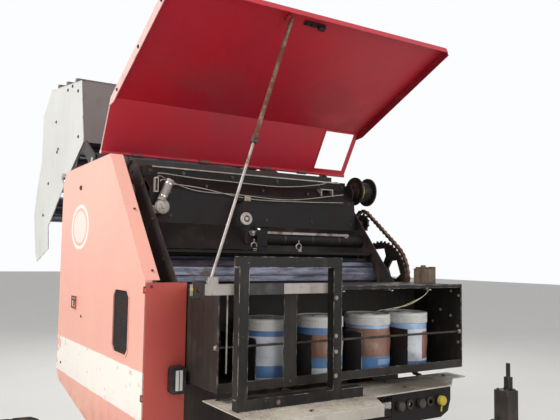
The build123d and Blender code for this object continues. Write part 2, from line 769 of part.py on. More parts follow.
shaft_front_yoke -= bar((0, shaft_front - 1, shaft_z), (0, shaft_front + 50, shaft_z), spline_bore)
shaft_rear_yoke = bar((0, gearbox_front - 60, shaft_z), (0, gearbox_front, shaft_z), yoke_radius)
hanger_y = shaft_front + 160
hanger_z = drawbar_top(hanger_y)
drawbar += block(-8, 8, hanger_y - 12, hanger_y + 12, hanger_z - 10, shaft_z - shaft_guard_radius)


# Left side drive
def toothed_wheel(place, radius, x_from, spokes, shaft_radius):
    x_to = x_from + sprocket_sheet
    teeth = round(2 * math.pi * radius / tooth_pitch)
    points = []
    for tooth in range(teeth):
        middle = 360 / teeth * tooth
        step = 360 / teeth
        for reach, share in ((radius - tooth_height, -0.22), (radius, 0), (radius - tooth_height, 0.22)):
            turn = math.radians(middle + step * share)
            points.append((place[0] + reach * math.cos(turn), place[1] + reach * math.sin(turn)))
    wheel = plate(points, x_from, x_to)
    for window in range(spokes):
        corners = []
        for reach, share in ((0.38, -0.26), (0.62, -0.34), (0.8, -0.2), (0.8, 0.2), (0.62, 0.34), (0.38, 0.26)):
            turn = 2 * math.pi / spokes * (window + share + 0.2)
            corners.append((place[0] + radius * reach * math.cos(turn),
                            place[1] + radius * reach * math.sin(turn)))
        wheel -= plate(corners, x_from - 1, x_to + 1)
    return wheel - flats(place, shaft_radius + seat_gap, 6, x_from - 1, x_to + 1)


def chain_way(first, second, reach):
    # The closed way of a chain round two wheels (y, z, radius), as points with their outward normals
    way_length = math.dist(first[:2], second[:2])
    towards = math.atan2(second[1] - first[1], second[0] - first[0])
    lean = math.acos((first[2] - second[2]) / way_length)
    straight = math.sqrt(way_length ** 2 - (first[2] - second[2]) ** 2)
    big_arc = (2 * math.pi - 2 * lean) * (first[2] + reach)
    small_arc = 2 * lean * (second[2] + reach)
    whole = big_arc + small_arc + 2 * straight
    links = round(whole / tooth_pitch)
    way = []
    for half_link in range(2 * links):
        run = whole * half_link / (2 * links)
        if run < big_arc:
            wheel, turn, along = first, towards + lean + run / (first[2] + reach), 0
        elif run < big_arc + straight:
            wheel, turn, along = first, towards - lean, run - big_arc
        elif run < big_arc + straight + small_arc:
            wheel, along = second, 0
            turn = towards - lean + (run - big_arc - straight) / (second[2] + reach)
        else:
            wheel, turn, along = second, towards + lean, run - big_arc - straight - small_arc
        normal = (math.cos(turn), math.sin(turn))
        way.append((wheel[0] + normal[0] * (wheel[2] + reach) - normal[1] * along,
                    wheel[1] + normal[1] * (wheel[2] + reach) + normal[0] * along, *normal))
    return way


def chain_loop(first, second, wheel_x_from):
    # Link plates with their waists, as one band
    outer = []
    inner = []
    for index, (y, z, normal_y, normal_z) in enumerate(chain_way(first, second, chain_height / 2 + seat_gap)):
        half = chain_height / 2 - chain_waist * (index % 2)
        outer.append((y + normal_y * half, z + normal_z * half))
        inner.append((y - normal_y * half, z - normal_z * half))
    x_from = wheel_x_from + sprocket_sheet / 2 - chain_width / 2
    return plate(outer, x_from, x_from + chain_width) - plate(inner, x_from - 1, x_from + chain_width + 1)


big_place = on_ring(net_drive_roller)
starter_place = on_ring(starter_roller)
gearbox_place = (gearbox_y, gearbox_z)
sprockets = [
    toothed_wheel(big_place, big_sprocket_radius, drive_x, sprocket_spokes, roller_shaft_radius),
    toothed_wheel(net_sprocket[:2], net_sprocket[2], drive_x, 0, net_shaft_radius),
    toothed_wheel(starter_place, starter_sprocket_radius, main_drive_x, 0, roller_shaft_radius),
    toothed_wheel(gearbox_place, gearbox_sprocket_radius, main_drive_x, 0, cross_shaft_radius),
]
chains = [
    chain_loop((*big_place, big_sprocket_radius), net_sprocket, drive_x),
    chain_loop((*starter_place, starter_sprocket_radius), (*gearbox_place, gearbox_sprocket_radius), main_drive_x),
]
net_shaft = flats(net_sprocket[:2], net_shaft_radius, 6, chamber_half + side_sheet, drive_x + sprocket_sheet + 6)

drum_end = drum_inner + drum_length
drum = across(drum_place, drum_radius, drum_inner, drum_inner + flange_sheet)
drum += across(drum_place, drum_core_radius, drum_inner + flange_sheet, drum_end - flange_sheet)
drum += across(drum_place, drum_radius, drum_end - flange_sheet, drum_end)
drum -= across(drum_place, drum_pin_radius + fit_gap, drum_inner - 1, drum_end + 1)

# Net unit
net_unit = [block(-chamber_half, chamber_half, *net_beam_ys, *net_beam_zs)]
cover_low, cover_bend, cover_high = net_cover_points
cover = folded([cover_low, cover_bend, cover_high], 4, -chamber_half, chamber_half)
cover += folded([net_cover_low, cover_low, cover_bend], 4, -chamber_half, -60)
cover += plate([(290, 1765), (345, 1765), (380, 1870), (350, 1870)], -52, -42)
net_unit.append(cover)
net_unit.append(block(-chamber_half, chamber_half, *net_sill))
net_unit.append(across(net_roller_place, net_roller_radius, -42, chamber_half))
disc_x, disc_y = actuator_place
disc = Plane.XZ.offset(-disc_y) * Pos(disc_x, 1921) * RegularPolygon(actuator_disc_radius, 12)
actuator = extrude(disc, amount=8, both=True)
actuator += bar((disc_x - 6, disc_y, 1948), (disc_x + 38, disc_y, 2046), actuator_radius)
actuator += block(seat_gap - chamber_half, disc_x + 10, disc_y + 8, disc_y + 16, 1890, 1925)
twine_arm = block(*arm_xs, *arm_ys, arm_zs[0] + 60, arm_zs[1])
twine_arm += block(*arm_xs, arm_ys[0], 362, arm_zs[1] - 24, arm_zs[1] - 16)
twine_arm += block(arm_xs[0] + 12, arm_xs[1] - 12, *arm_ys, arm_zs[0], arm_zs[0] + 60)
arm_disc = Plane.XZ.offset(-arm_ys[0]) * Pos(arm_xs[0] + 8, arm_zs[0] + 118) * RegularPolygon(30, 12)
twine_arm += extrude(arm_disc, amount=8)

# Brackets on the frame
plate_face = chamber_half + side_sheet
drum_bracket = plate([(420, 1980), (520, 2080), (520, 2110), (410, 2110), (385, 2060)], plate_face, plate_face + 8)
drum_bracket += across(drum_place, drum_pin_radius, plate_face, drum_end + 6)
shaft_bracket = plate([(gearbox_y - 45, gearbox_z - 45), (110, 940), (110, 1110), (gearbox_y - 45, gearbox_z + 45)],
                      plate_face, plate_face + 10)
shaft_bracket -= flats(gearbox_place, cross_shaft_radius + seat_gap, 6, plate_face - 1, plate_face + 11)
hood_lug = plate([(645, 2100), (720, 2100), (712, 2212), (664, 2212), (664, 2192), (645, 2186)],
                 plate_face, plate_face + hood_lug_sheet)
hood_lug -= across(hood_hinge, hood_pin_radius + fit_gap, plate_face - 1, plate_face + hood_lug_sheet + 1)
frame_brackets = [drum_bracket, shaft_bracket, net_shaft, hood_lug, mirrored(hood_lug)]
supports = []
for support_x in support_xs:
    support_start = support_front if support_x < 0 else holder_y + 20
    support = block(support_x - support_half, support_x + support_half, support_start, support_rear,
                    platform_z - platform_sheet - support_depth, platform_z - platform_sheet)
    support += block(support_x - support_half, support_x + support_half, box_back + 5, support_rear,
                     rear_z + 50, platform_z - platform_sheet)
    support += block(support_x - support_half, support_x + support_half, platform_back + work_gap, box_back,
                     platform_z - platform_sheet, box_floor)
    supports.append(support)

# Pick-up
pivot_y, pivot_z = pickup_pivot
reel_y, reel_z = reel_place
gauge_y, gauge_z = gauge_place
pickup_side = plate([(pivot_y + 40, pivot_z + 40), (pivot_y + 40, pivot_z - 60),
                     (gauge_y + 50, gauge_z), (gauge_y + 20, gauge_z - 32), (gauge_y - 25, gauge_z - 32),
                     (reel_y - 60, reel_z - 110), (reel_y - 140, reel_z + 20), (reel_y, reel_z + 150),
                     (pivot_y - 60, pivot_z + 40)],
                    pickup_half - pickup_sheet, pickup_half)
pickup_side -= across(pickup_pivot, pickup_pin_radius + fit_gap, pickup_half - 20, pickup_half + 1)
pickup_side -= across(reel_place, reel_shaft_radius + fit_gap, pickup_half - 20, pickup_half + 1)
pickup_side += across(gauge_place, gauge_pin_radius, pickup_half - pickup_sheet, gauge_x + gauge_width / 2 + 4)
beam_front = reel_y + tine_radius + 2 * work_gap
pickup_beam = block(-pickup_half + pickup_sheet, pickup_half - pickup_sheet, beam_front, beam_front + 60, 395, 455)
pickup_frame = [pickup_side, mirrored(pickup_side), pickup_beam]
pickup_pin = across(pickup_pivot, pickup_pin_radius, plate_face, pickup_half + 4)
reel_half = pickup_half - 30
tine_pitch = 2 * (reel_half - 30) / tine_count
tine_foot = 108
tine_bar_height = 22
comb_line = [(-reel_half, tine_foot), (-reel_half, tine_foot + tine_bar_height)]
for tine in range(tine_count):
    tine_x = -reel_half + 30 + tine_pitch * (tine + 0.5)
    comb_line.append((tine_x - tine_size, tine_foot + tine_bar_height))
    comb_line.append((tine_x, tine_radius))
    comb_line.append((tine_x + tine_size, tine_foot + tine_bar_height))
comb_line += [(reel_half, tine_foot + tine_bar_height), (reel_half, tine_foot)]
comb = extrude(Plane.XZ.offset(-tine_size / 2) * Polygon(*comb_line, align=None), amount=tine_size, dir=(0, 1, 0))
comb = Pos(0, -comb.bounding_box().center().Y, 0) * comb
reel = across((0, 0), reel_shaft_radius, -pickup_half - 4, pickup_half + 4)
for end in (-reel_half, reel_half - 5):
    reel += flats((0, 0), tine_foot + tine_bar_height, 12, end, end + 5)
for bar_turn in range(tine_bars):
    reel += Rot(360 / tine_bars * bar_turn + 20, 0, 0) * comb
reel = Pos(0, reel_y, reel_z) * reel
band_points = [(beam_front - seat_gap, reel_z - 8)]
for step in range(8):
    turn = math.radians(75 + 30 * step)
    band_points.append((reel_y + stripper_radius * math.cos(turn), reel_z + stripper_radius * math.sin(turn)))
band_points.append((beam_front - seat_gap, reel_z - 62))
strippers = []
for tine in range(tine_count - 1):
    gap_x = -reel_half + 30 + tine_pitch * (tine + 1)
    band_half = (tine_pitch - tine_size) / 2 - work_gap
    band = plate(band_points, gap_x - band_half, gap_x + band_half)
    band -= inset(band_points, sheet, gap_x - band_half - 1, gap_x + band_half + 1)
    strippers.append(band)
gauge_left = flats(gauge_place, gauge_radius, 24, gauge_x - gauge_width / 2, gauge_x + gauge_width / 2)
gauge_left -= across(gauge_place, gauge_pin_radius + fit_gap, gauge_x - gauge_width, gauge_x + gauge_width)
gauge_right = mirrored(gauge_left)

nodes = {
    "side_plates": [side_plate_left, side_plate_right],
    "cross_tubes": cross_tubes,
    "frame_brackets": frame_brackets,
    "box_supports": supports,
    "axle": axle,
    "main_rollers": main_rollers,
    "main_bearings": left_bearings + right_bearings,
    "tyre_left": tyre_left,
    "tyre_right": tyre_right,
    "rim_left": rim_left,
    "rim_right": rim_right,
    "door_right": door,
    "door_grille": slot_grille,
    "front_panel": front_panel,
    "lamp_body": lamp_body,
    "lamp_lens": lamp_lens,
    "hood": hood,
    "hood_flanges": hood_flanges,
    "stay_rod": stay_rod,
    "stay_tube": stay_tube,
    "gate_sides": [gate_side_left, gate_side_right],
    "gate_arms": [gate_arm_left, gate_arm_right],
    "gate_skin": gate_skin,
    "gate_rollers": gate_rollers,
    "gate_bearings": gate_bearings,
    "hinge_pins": gate_pins + ram_lugs + [pickup_pin, mirrored(pickup_pin)],
    "ram_barrel_left": ram_barrel_left,
    "ram_barrel_right": ram_barrel_right,
    "ram_rod_left": ram_rod_left,
    "ram_rod_right": ram_rod_right,
    "twine_box": twine_box,
    "twine_packs": packs,
    "oiler": oiler,
    "step_frame": step_frame,
    "stay_bar": stay_bar,
    "platform": platform,
    "hose_holder": hose_holder,
    "drawbar": drawbar,
    "hitch_ring": hitch,
    "jack_tube": jack_outer,
    "jack_leg": jack_leg_body,
    "gearbox": gearbox,
    "cross_shaft": cross_shaft,
    "shaft_guard": shaft_guard,
    "shaft_yokes": [shaft_front_yoke, shaft_rear_yoke],
    "sprockets": sprockets,
    "drive_chains": chains,
    "drum": drum,
    "net_unit": net_unit,
    "net_actuator": actuator,
    "twine_arm": twine_arm,
    "pickup_frame": pickup_frame,
    "pickup_reel": reel,
    "pickup_strippers": strippers,
    "gauge_wheel_left": gauge_left,
    "gauge_wheel_right": gauge_right,
}

groups = {}
for name, shape in nodes.items():
    groups[name] = shape if isinstance(shape, list) else [shape]
boxes = [solid.bounding_box() for solids in groups.values() for solid in solids]
middle_y = (min(box.min.Y for box in boxes) + max(box.max.Y for box in boxes)) / 2
os.makedirs("parts", exist_ok=True)
for name, solids in groups.items():
    moved = [Pos(0, -middle_y, 0) * solid for solid in solids]
    export_step(Compound(children=moved), f"parts/{name}.step")
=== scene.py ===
import math

import bmesh
import bpy
from mathutils import Matrix, Vector


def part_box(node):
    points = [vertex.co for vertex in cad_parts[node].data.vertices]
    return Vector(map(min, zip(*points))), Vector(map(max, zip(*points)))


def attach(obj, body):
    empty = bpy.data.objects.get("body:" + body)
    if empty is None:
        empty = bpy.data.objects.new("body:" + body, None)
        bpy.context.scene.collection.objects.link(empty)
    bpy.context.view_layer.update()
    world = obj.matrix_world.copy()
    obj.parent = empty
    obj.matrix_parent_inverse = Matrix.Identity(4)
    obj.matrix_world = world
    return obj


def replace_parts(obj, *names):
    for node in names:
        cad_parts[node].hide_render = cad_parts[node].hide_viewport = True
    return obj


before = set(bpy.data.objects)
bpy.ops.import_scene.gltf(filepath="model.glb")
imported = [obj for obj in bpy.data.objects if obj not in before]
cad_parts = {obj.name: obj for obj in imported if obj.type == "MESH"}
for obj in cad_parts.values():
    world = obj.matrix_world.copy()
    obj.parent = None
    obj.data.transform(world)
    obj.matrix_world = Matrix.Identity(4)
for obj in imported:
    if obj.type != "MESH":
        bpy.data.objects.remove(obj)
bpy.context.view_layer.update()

# The door's front corner is where the measures of this file count from
DOOR_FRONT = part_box("hitch_ring")[0].y + 1.785


def at(x, y, z):
    return Vector((x, y + DOOR_FRONT, z))


def linear(color):
    # Colours are written as 0 to 255, as a screen shows them
    return tuple(c / 255 / 12.92 if c <= 10 else ((c / 255 + 0.055) / 1.055) ** 2.4 for c in color)


# A value that varies over a surface: sums and products of it become shader nodes
class Field:
    def __init__(self, finish, socket):
        self.finish = finish
        self.socket = socket

    def join(self, operation, first, second=None, clamp=False):
        values = [first] if second is None else [first, second]
        return self.finish.node("ShaderNodeMath", {"operation": operation, "use_clamp": clamp}, values)

    def __add__(self, other):
        return self.join("ADD", self, other)

    def __sub__(self, other):
        return self.join("SUBTRACT", self, other)

    def __rsub__(self, other):
        return self.join("SUBTRACT", other, self)

    def __mul__(self, other):
        return self.join("MULTIPLY", self, other)

    def __truediv__(self, other):
        return self.join("DIVIDE", self, other)

    def __pow__(self, other):
        return self.join("POWER", self, other)

    def above(self, level):
        return self.join("GREATER_THAN", self, level)

    def higher_of(self, other):
        return self.join("MAXIMUM", self, other)

    def size(self):
        return self.join("ABSOLUTE", self)

    def part(self):
        return self.join("FRACT", self)

    def held(self):
        return self.join("ADD", self, 0.0, clamp=True)


class Finish:
    def __init__(self, name, color, roughness, metallic=0.0, coat=0.0):
        self.material = bpy.data.materials.new(name)
        self.material.use_nodes = True
        self.tree = self.material.node_tree
        self.shader = self.tree.nodes["Principled BSDF"]
        self.put("Base Color", (*linear(color), 1))
        self.put("Roughness", roughness)
        self.put("Metallic", metallic)
        self.put("Coat Weight", coat)
        self.material.diffuse_color = (*linear(color), 1)
        self.here = self.node("ShaderNodeTexCoord", {}, {}, "Object")
        self.x, self.y, self.z = (self.node("ShaderNodeSeparateXYZ", {}, [self.here], axis) for axis in "XYZ")

    def node(self, kind, settings, values, output=0):
        made = self.tree.nodes.new(kind)
        for key, value in settings.items():
            setattr(made, key, value)
        pairs = values.items() if isinstance(values, dict) else enumerate(values)
        for key, value in pairs:
            if isinstance(value, Field):
                self.tree.links.new(value.socket, made.inputs[key])
            elif made.inputs[key].type == "RGBA":
                made.inputs[key].default_value = (*linear(value), 1)
            else:
                made.inputs[key].default_value = value
        return Field(self, made.outputs[output])

    def noise(self, scale, detail=3.0, roughness=0.55, stretch=None):
        place = self.here
        if stretch:
            place = self.node("ShaderNodeVectorMath", {"operation": "MULTIPLY"}, [place, stretch])
        return self.node("ShaderNodeTexNoise", {}, {"Vector": place, "Scale": scale, "Detail": detail,
                                                    "Roughness": roughness})

    def rise(self, value, low, high):
        # From 0 to 1 with soft ends, while the value goes from low to high
        return self.node("ShaderNodeMapRange", {"interpolation_type": "SMOOTHSTEP"},
                         {"Value": value, "From Min": low, "From Max": high})

    def patches(self, low, high, *noise):
        # Soft-edged patches: a noise of this scale, detail, roughness and stretch, cut from low to high
        return self.rise(self.noise(*noise), low, high)

    def edges(self, reach=0.004, strength=6.0):
        # Near an outer or inner edge the rounded normal leaves the flat one
        rounded = self.node("ShaderNodeBevel", {"samples": 4}, {"Radius": reach})
        flat = self.node("ShaderNodeNewGeometry", {}, {}, "Normal")
        same = self.node("ShaderNodeVectorMath", {"operation": "DOT_PRODUCT"}, [rounded, flat], "Value")
        return ((1 - same) * strength).held()

    def mix(self, share, first, second):
        return self.node("ShaderNodeMix", {"data_type": "RGBA"}, {0: share, 6: first, 7: second}, 2)

    def put(self, name, value):
        if isinstance(value, Field):
            self.tree.links.new(value.socket, self.shader.inputs[name])
        else:
            self.shader.inputs[name].default_value = value

    def bump(self, height, strength, distance):
        values = {"Strength": strength, "Distance": distance, "Height": height}
        self.put("Normal", self.node("ShaderNodeBump", {}, values))
        return self

    def cover(self, color, roughness, height, strength, distance):
        self.color = color
        self.put("Base Color", color)
        self.put("Roughness", roughness)
        return self.bump(height, strength, distance)


def aged_paint(name, fresh, faded, dirt, bare, dirt_level, wear, roughness=0.42):
    # Sun-faded sheet metal with dust, streaks, chips and worn edges
    made = Finish(name, fresh, roughness)
    color = made.mix(made.patches(0.3, 0.75, 1.7, 4), fresh, faded)
    streaks = made.noise(5.0, 5, 0.6, (6, 6, 0.7))
    dust = made.rise(made.noise(7.0, 6, 0.65) * 0.6 + streaks * 0.4, dirt_level - 0.1, dirt_level + 0.18)
    color = made.mix(dust * 0.62, color, dirt)
    chips = made.patches(0.7, 0.74, 46, 4, 0.6) * made.patches(0.42, 0.6, 4.1, 2)
    worn = (made.edges() * made.patches(0.45, 0.62, 23, 4) * wear).higher_of(chips * wear)
    color = made.mix(worn.held(), color, bare)
    return made.cover(color, (made.noise(31, 3) * 0.12 + dust * 0.3 + roughness - 0.06).held(),
                      made.noise(120, 3) * 0.35 + dust * 0.5 - worn * 0.6, 0.25, 0.0008)


def worn_steel(name, light, dark, rust, rust_level, roughness, metallic=0.9, grain=None):
    made = Finish(name, light, roughness, metallic)
    color = made.mix(made.patches(0.3, 0.7, 14, 5, 0.6, grain), light, dark)
    rusty = made.rise(made.noise(11, 6, 0.7), rust_level - 0.06, rust_level + 0.1)
    made.put("Metallic", (metallic - rusty * metallic * 0.85).held())
    return made.cover(made.mix(rusty, color, rust),
                      (made.noise(60, 3, 0.6, grain) * 0.25 + rusty * 0.4 + roughness - 0.1).held(),
                      made.noise(160, 4, 0.6, grain) + rusty * 0.8, 0.3, 0.0008)


def door_marks(finish, color):
    # The pale band with its ragged rear end, and the blank oval with its double line
    y = finish.y - DOOR_FRONT
    ragged = finish.noise(9, 4) * 0.5 + finish.noise(38, 3) * 0.2
    band = (finish.z + ragged * 0.02).above(1.052) * (1.242 - finish.z - ragged * 0.016).above(0)
    band = band * (1.62 - y - ragged * 0.75).above(0) * finish.patches(0.3, 0.36, 30, 4)
    color = finish.mix(band * 0.94, color, (249, 245, 237))
    reach = (((y - 1.006) / 0.165) ** 2 + ((finish.z - 1.842) / 0.118) ** 2) ** 0.5
    line = (0.075 - (reach - 0.93).size()).above(0)
    inner = (0.72 - reach).above(0)
    color = finish.mix(line * 0.9, color, (253, 246, 238))
    return finish.mix(inner * 0.75, color, (250, 236, 226))


def sunlit_aged_door(name):
    # Pale salmon: sun-faded red paint, made paler still as painted sunlight glare, and paler again towards
    # the top
    made = Finish(name, (240, 178, 158), 0.4)
    color = made.mix(made.patches(0.3, 0.72, 1.3, 4), (243, 182, 160), (240, 170, 158))
    color = made.mix(made.rise(made.z, 1.7, 2.1) * 0.5, color, (238, 188, 172))
    chalk = made.patches(0.5, 0.8, 6, 6, 0.7, (6, 6, 0.8))
    color = made.mix(chalk * 0.28, color, (226, 190, 172))
    color = door_marks(made, color)
    grime = made.rise(made.z, 1.15, 0.78) * made.patches(0.35, 0.7, 8, 6, 0.7)
    color = made.mix(grime * 0.55, color, (176, 132, 106))
    scratch = made.patches(0.7, 0.73, 30, 5, 0.7, (1, 0.25, 3))
    worn = (made.edges(0.005) * made.patches(0.4, 0.6, 19, 4)).higher_of(scratch * 0.5)
    color = made.mix(worn * 0.7, color, (206, 148, 126))
    return made.cover(color, (made.noise(24, 4) * 0.14 + grime * 0.25 + chalk * 0.1 + 0.3).held(),
                      made.noise(140, 3) * 0.3 + made.noise(3.1, 2) * 1.4 - worn * 0.5, 0.22, 0.0009)


def dusty_hood(name):
    made = Finish(name, (184, 28, 42), 0.45)
    color = made.mix(made.patches(0.3, 0.72, 1.5, 4), (190, 28, 44), (174, 36, 54))
    patch = made.patches(0.52, 0.68, 2.3, 5, 0.6) * made.rise(made.z, 2.75, 2.3)
    color = made.mix(patch * 0.5, color, (112, 60, 56))
    streak = made.patches(0.58, 0.75, 7, 5, 0.65, (5, 1, 1))
    color = made.mix(streak * 0.22, color, (186, 70, 70))
    scratch = made.patches(0.72, 0.75, 28, 5, 0.7, (0.3, 1, 2))
    worn = (made.edges() * made.patches(0.4, 0.6, 23, 4)).higher_of(scratch * 0.6)
    color = made.mix(worn * 0.6, color, (214, 120, 118))
    # The folded edge on the right is painted pale as sunlight falling on it
    sunlit_fold = (-0.7455 - made.x).above(0) * made.patches(0.2, 0.4, 12, 4)
    color = made.mix(sunlit_fold, color, (236, 200, 194))
    return made.cover(color, (made.noise(26, 4) * 0.16 + patch * 0.3 + 0.36).held(),
                      made.noise(130, 3) * 0.3 + made.noise(2.4, 2) * 1.6 + patch * 0.4, 0.24, 0.0009)


def lit_and_shaded_flange(name):
    # The right flange is painted pale pink as sunlight falling on it, the left one a darker red as painted
    # shade
    made = Finish(name, (150, 30, 42), 0.45)
    color = made.mix(made.x.above(0), (232, 190, 184), (150, 28, 40))
    color = made.mix(made.patches(0.45, 0.75, 9, 5, 0.65) * 0.4, color, (168, 92, 88))
    color = made.mix(made.edges() * made.patches(0.4, 0.6, 20, 4) * 0.7, color, (110, 60, 56))
    return made.cover(color, (made.noise(26, 4) * 0.16 + 0.38).held(), made.noise(130, 3), 0.2, 0.0007)


def aged_gate(name):
    made = Finish(name, (214, 214, 210), 0.44)
    color = made.mix(made.patches(0.3, 0.7, 1.1, 3), (218, 219, 216), (204, 204, 200))
    streak = made.patches(0.5, 0.78, 6, 5, 0.65, (5, 5, 0.7))
    color = made.mix(streak * 0.3, color, (176, 168, 154))
    rusty = made.edges(0.006, 7) * made.patches(0.46, 0.6, 17, 5)
    rusty = rusty.higher_of(made.patches(0.72, 0.76, 26, 6, 0.7) * 0.8)
    color = made.mix(rusty * 0.8, color, (124, 88, 62))
    return made.cover(color, (made.noise(28, 4) * 0.15 + streak * 0.15 + rusty * 0.3 + 0.34).held(),
                      made.noise(150, 3) * 0.3 + made.noise(2.2, 2) * 1.2 + rusty * 0.5, 0.24, 0.0009)


def dusty_rubber(name):
    made = Finish(name, (34, 33, 32), 0.75)
    dust = made.patches(0.42, 0.68, 16, 6, 0.7)
    return made.cover(made.mix(dust * 0.5, (36, 35, 34), (112, 98, 80)), made.noise(40, 3) * 0.2 + 0.68,
                      made.noise(90, 4), 0.4, 0.0015)


def plastic(name, fresh, dusty, roughness=0.42):
    made = Finish(name, fresh, roughness)
    color = made.mix(made.patches(0.45, 0.75, 18, 5) * 0.5, fresh, dusty)
    return made.cover(color, made.noise(50, 3) * 0.2 + roughness, made.noise(300, 2), 0.15, 0.0004)


def ribbed_lens(name):
    made = Finish(name, (225, 224, 216), 0.12, coat=0.6)
    dust = made.patches(0.4, 0.8, 20, 3) * 0.4
    made.put("Base Color", made.mix(dust, (228, 227, 220), (184, 174, 158)))
    return made.bump(((made.z * 170).part() - 0.5).size(), 0.35, 0.001)


def pack_label(name, bands, block_low, block_high, block_x, block_color):
    # Plain coloured bands by height, and one plain block on the front of the wrap
    made = Finish(name, (200, 204, 212), 0.32, coat=0.3)
    color = (196, 202, 214)
    for low, high, tone in bands:
        color = made.mix((made.z - low).above(0) * (high - made.z).above(0), color, tone)
    inside = (made.z - block_low).above(0) * (block_high - made.z).above(0) * (made.x - block_x).above(0)
    color = made.mix(inside * (DOOR_FRONT + PACK_MIDDLE - made.y).above(0), color, block_color)
    crease_and_shade = made.patches(0.5, 0.78, 22, 5, 0.7, (1, 1, 2))
    # The wrap is darker along its creases, as painted shade
    color = made.mix(crease_and_shade * 0.35, color, (120, 112, 104))
    color = made.mix(made.patches(0.55, 0.8, 9, 5) * 0.4, color, (96, 88, 82))
    return made.cover(color, made.noise(30, 3) * 0.2 + 0.25,
                      made.noise(26, 5, 0.7, (1, 1, 3)) + crease_and_shade * 0.6, 0.5, 0.003)


DUST = (172, 150, 122)
RUST = (96, 54, 32)

# Paints: fresh, faded, dirt and bare colour, level of the dirt, wear and, where it differs, roughness
sunlit_door_paint = sunlit_aged_door("sunlit_door_paint")
hood_paint = dusty_hood("hood_paint")
flange_paint = lit_and_shaded_flange("flange_paint")
gate_paint = aged_gate("gate_paint")
panel_paint = aged_paint("panel_paint", (190, 72, 62), (200, 88, 76), (150, 92, 76), (110, 60, 50), 0.62, 0.5)
red_paint = aged_paint("red_paint", (120, 30, 32), (112, 44, 42), (120, 96, 78), (70, 50, 42), 0.46, 0.7)
# The gate's skin faces away from the sun: its grey-brown is painted shade on the gate's paint
shaded_skin_paint = aged_paint("shaded_skin_paint", (108, 100, 98), (120, 112, 110), (104, 90, 78), (96, 74, 58), 0.56, 0.5,
                        0.5)
# Dark plate paint, also worn by the gate's arms and the cross tubes as painted shade where they sit in shadow
plate_paint = aged_paint("plate_paint", (46, 41, 42), (58, 52, 52), (92, 76, 62), (96, 72, 54), 0.52, 0.6)
black_paint = aged_paint("black_paint", (34, 31, 31), (48, 44, 43), (92, 80, 68), (112, 104, 94), 0.56, 0.8)
box_paint = aged_paint("box_paint", (40, 37, 35), (50, 46, 43), (74, 66, 58), (170, 160, 150), 0.54, 1.0,
                       0.44)
# Dark posts whose worn edges show near white, as bare metal and as a painted highlight
post_paint = aged_paint("post_paint", (27, 26, 24), (36, 34, 32), (78, 70, 62), (206, 196, 182), 0.56, 1.0,
                        0.4)
bar_paint = aged_paint("bar_paint", (176, 166, 160), (150, 140, 134), (120, 104, 88), RUST, 0.52, 0.9)
net_paint = aged_paint("net_paint", (21, 18, 18), (28, 24, 23), (60, 50, 44), (84, 74, 66), 0.58, 0.6, 0.6)
# The deck's pale colour is painted sunlight
deck_paint = aged_paint("deck_paint", (196, 188, 176), (172, 164, 152), (92, 82, 70), (218, 208, 194), 0.52,
                        1.0)
rim_paint = aged_paint("rim_paint", (206, 202, 192), (188, 184, 174), DUST, RUST, 0.5, 0.7)
housing_paint = aged_paint("housing_paint", (74, 60, 50), (92, 76, 62), DUST, RUST, 0.46, 0.6, 0.6)
cream_paint = aged_paint("cream_paint", (196, 190, 180), (176, 170, 160), (128, 112, 96), RUST, 0.5, 0.7)

# The left half of the deck is darker as painted shade, and the darkest paints mirror less
shaded = deck_paint.rise(deck_paint.x, 0.02, 0.34) * deck_paint.patches(0.2, 0.5, 6, 4)
deck_paint.put("Base Color", deck_paint.mix(shaded * 0.9, deck_paint.color, (84, 74, 62)))
for finish in (net_paint, post_paint, black_paint, box_paint, plate_paint):
    finish.put("Specular IOR Level", 0.2)

# Steels: light, dark and rust colour, level of the rust, roughness and metallic share
# The rollers' bluish tint and blue-white stripes are a painted sheen
roller_steel = worn_steel("roller_steel", (126, 128, 142), (62, 62, 72), (84, 70, 62), 0.6, 0.3, 0.8,
                          (0.4, 3, 3))
bright_steel = worn_steel("bright_steel", (196, 196, 194), (150, 150, 150), RUST, 0.68, 0.25)
dull_steel = worn_steel("dull_steel", (158, 150, 146), (122, 112, 106), RUST, 0.58, 0.4, 0.6)
rusty_steel = worn_steel("rusty_steel", (96, 80, 66), (64, 52, 44), RUST, 0.46, 0.5, 0.6)
dark_steel = worn_steel("dark_steel", (58, 50, 46), (34, 30, 28), (74, 48, 34), 0.56, 0.45, 0.5)
# The stay's tube: rust brown, darkened partly as painted shade
stay_steel = worn_steel("stay_steel", (104, 82, 66), (136, 118, 102), RUST, 0.5, 0.42, 0.6)
chain_steel = worn_steel("chain_steel", (140, 114, 94), (80, 64, 54), RUST, 0.5, 0.42, 0.7)
bolt_steel = worn_steel("bolt_steel", (196, 190, 180), (140, 132, 122), RUST, 0.62, 0.35, 0.6)
dark_bolt = worn_steel("dark_bolt", (92, 82, 76), (62, 54, 50), RUST, 0.5, 0.5, 0.5)

tyre_rubber = dusty_rubber("tyre_rubber")
black_plastic = plastic("black_plastic", (26, 26, 27), (104, 92, 80))
yellow_plastic = plastic("yellow_plastic", (184, 164, 48), (132, 120, 60))
clear_lid = plastic("clear_lid", (208, 206, 202), (176, 168, 156), 0.3)
wire_sheath = plastic("wire_sheath", (170, 164, 154), (120, 108, 94), 0.45)
twine_fibre = plastic("twine_fibre", (206, 196, 170), (160, 146, 118), 0.7)
lens_glass = ribbed_lens("lens_glass")


def link(data, name):
    made = bpy.data.objects.new(name, data)
    bpy.context.scene.collection.objects.link(made)
    return made


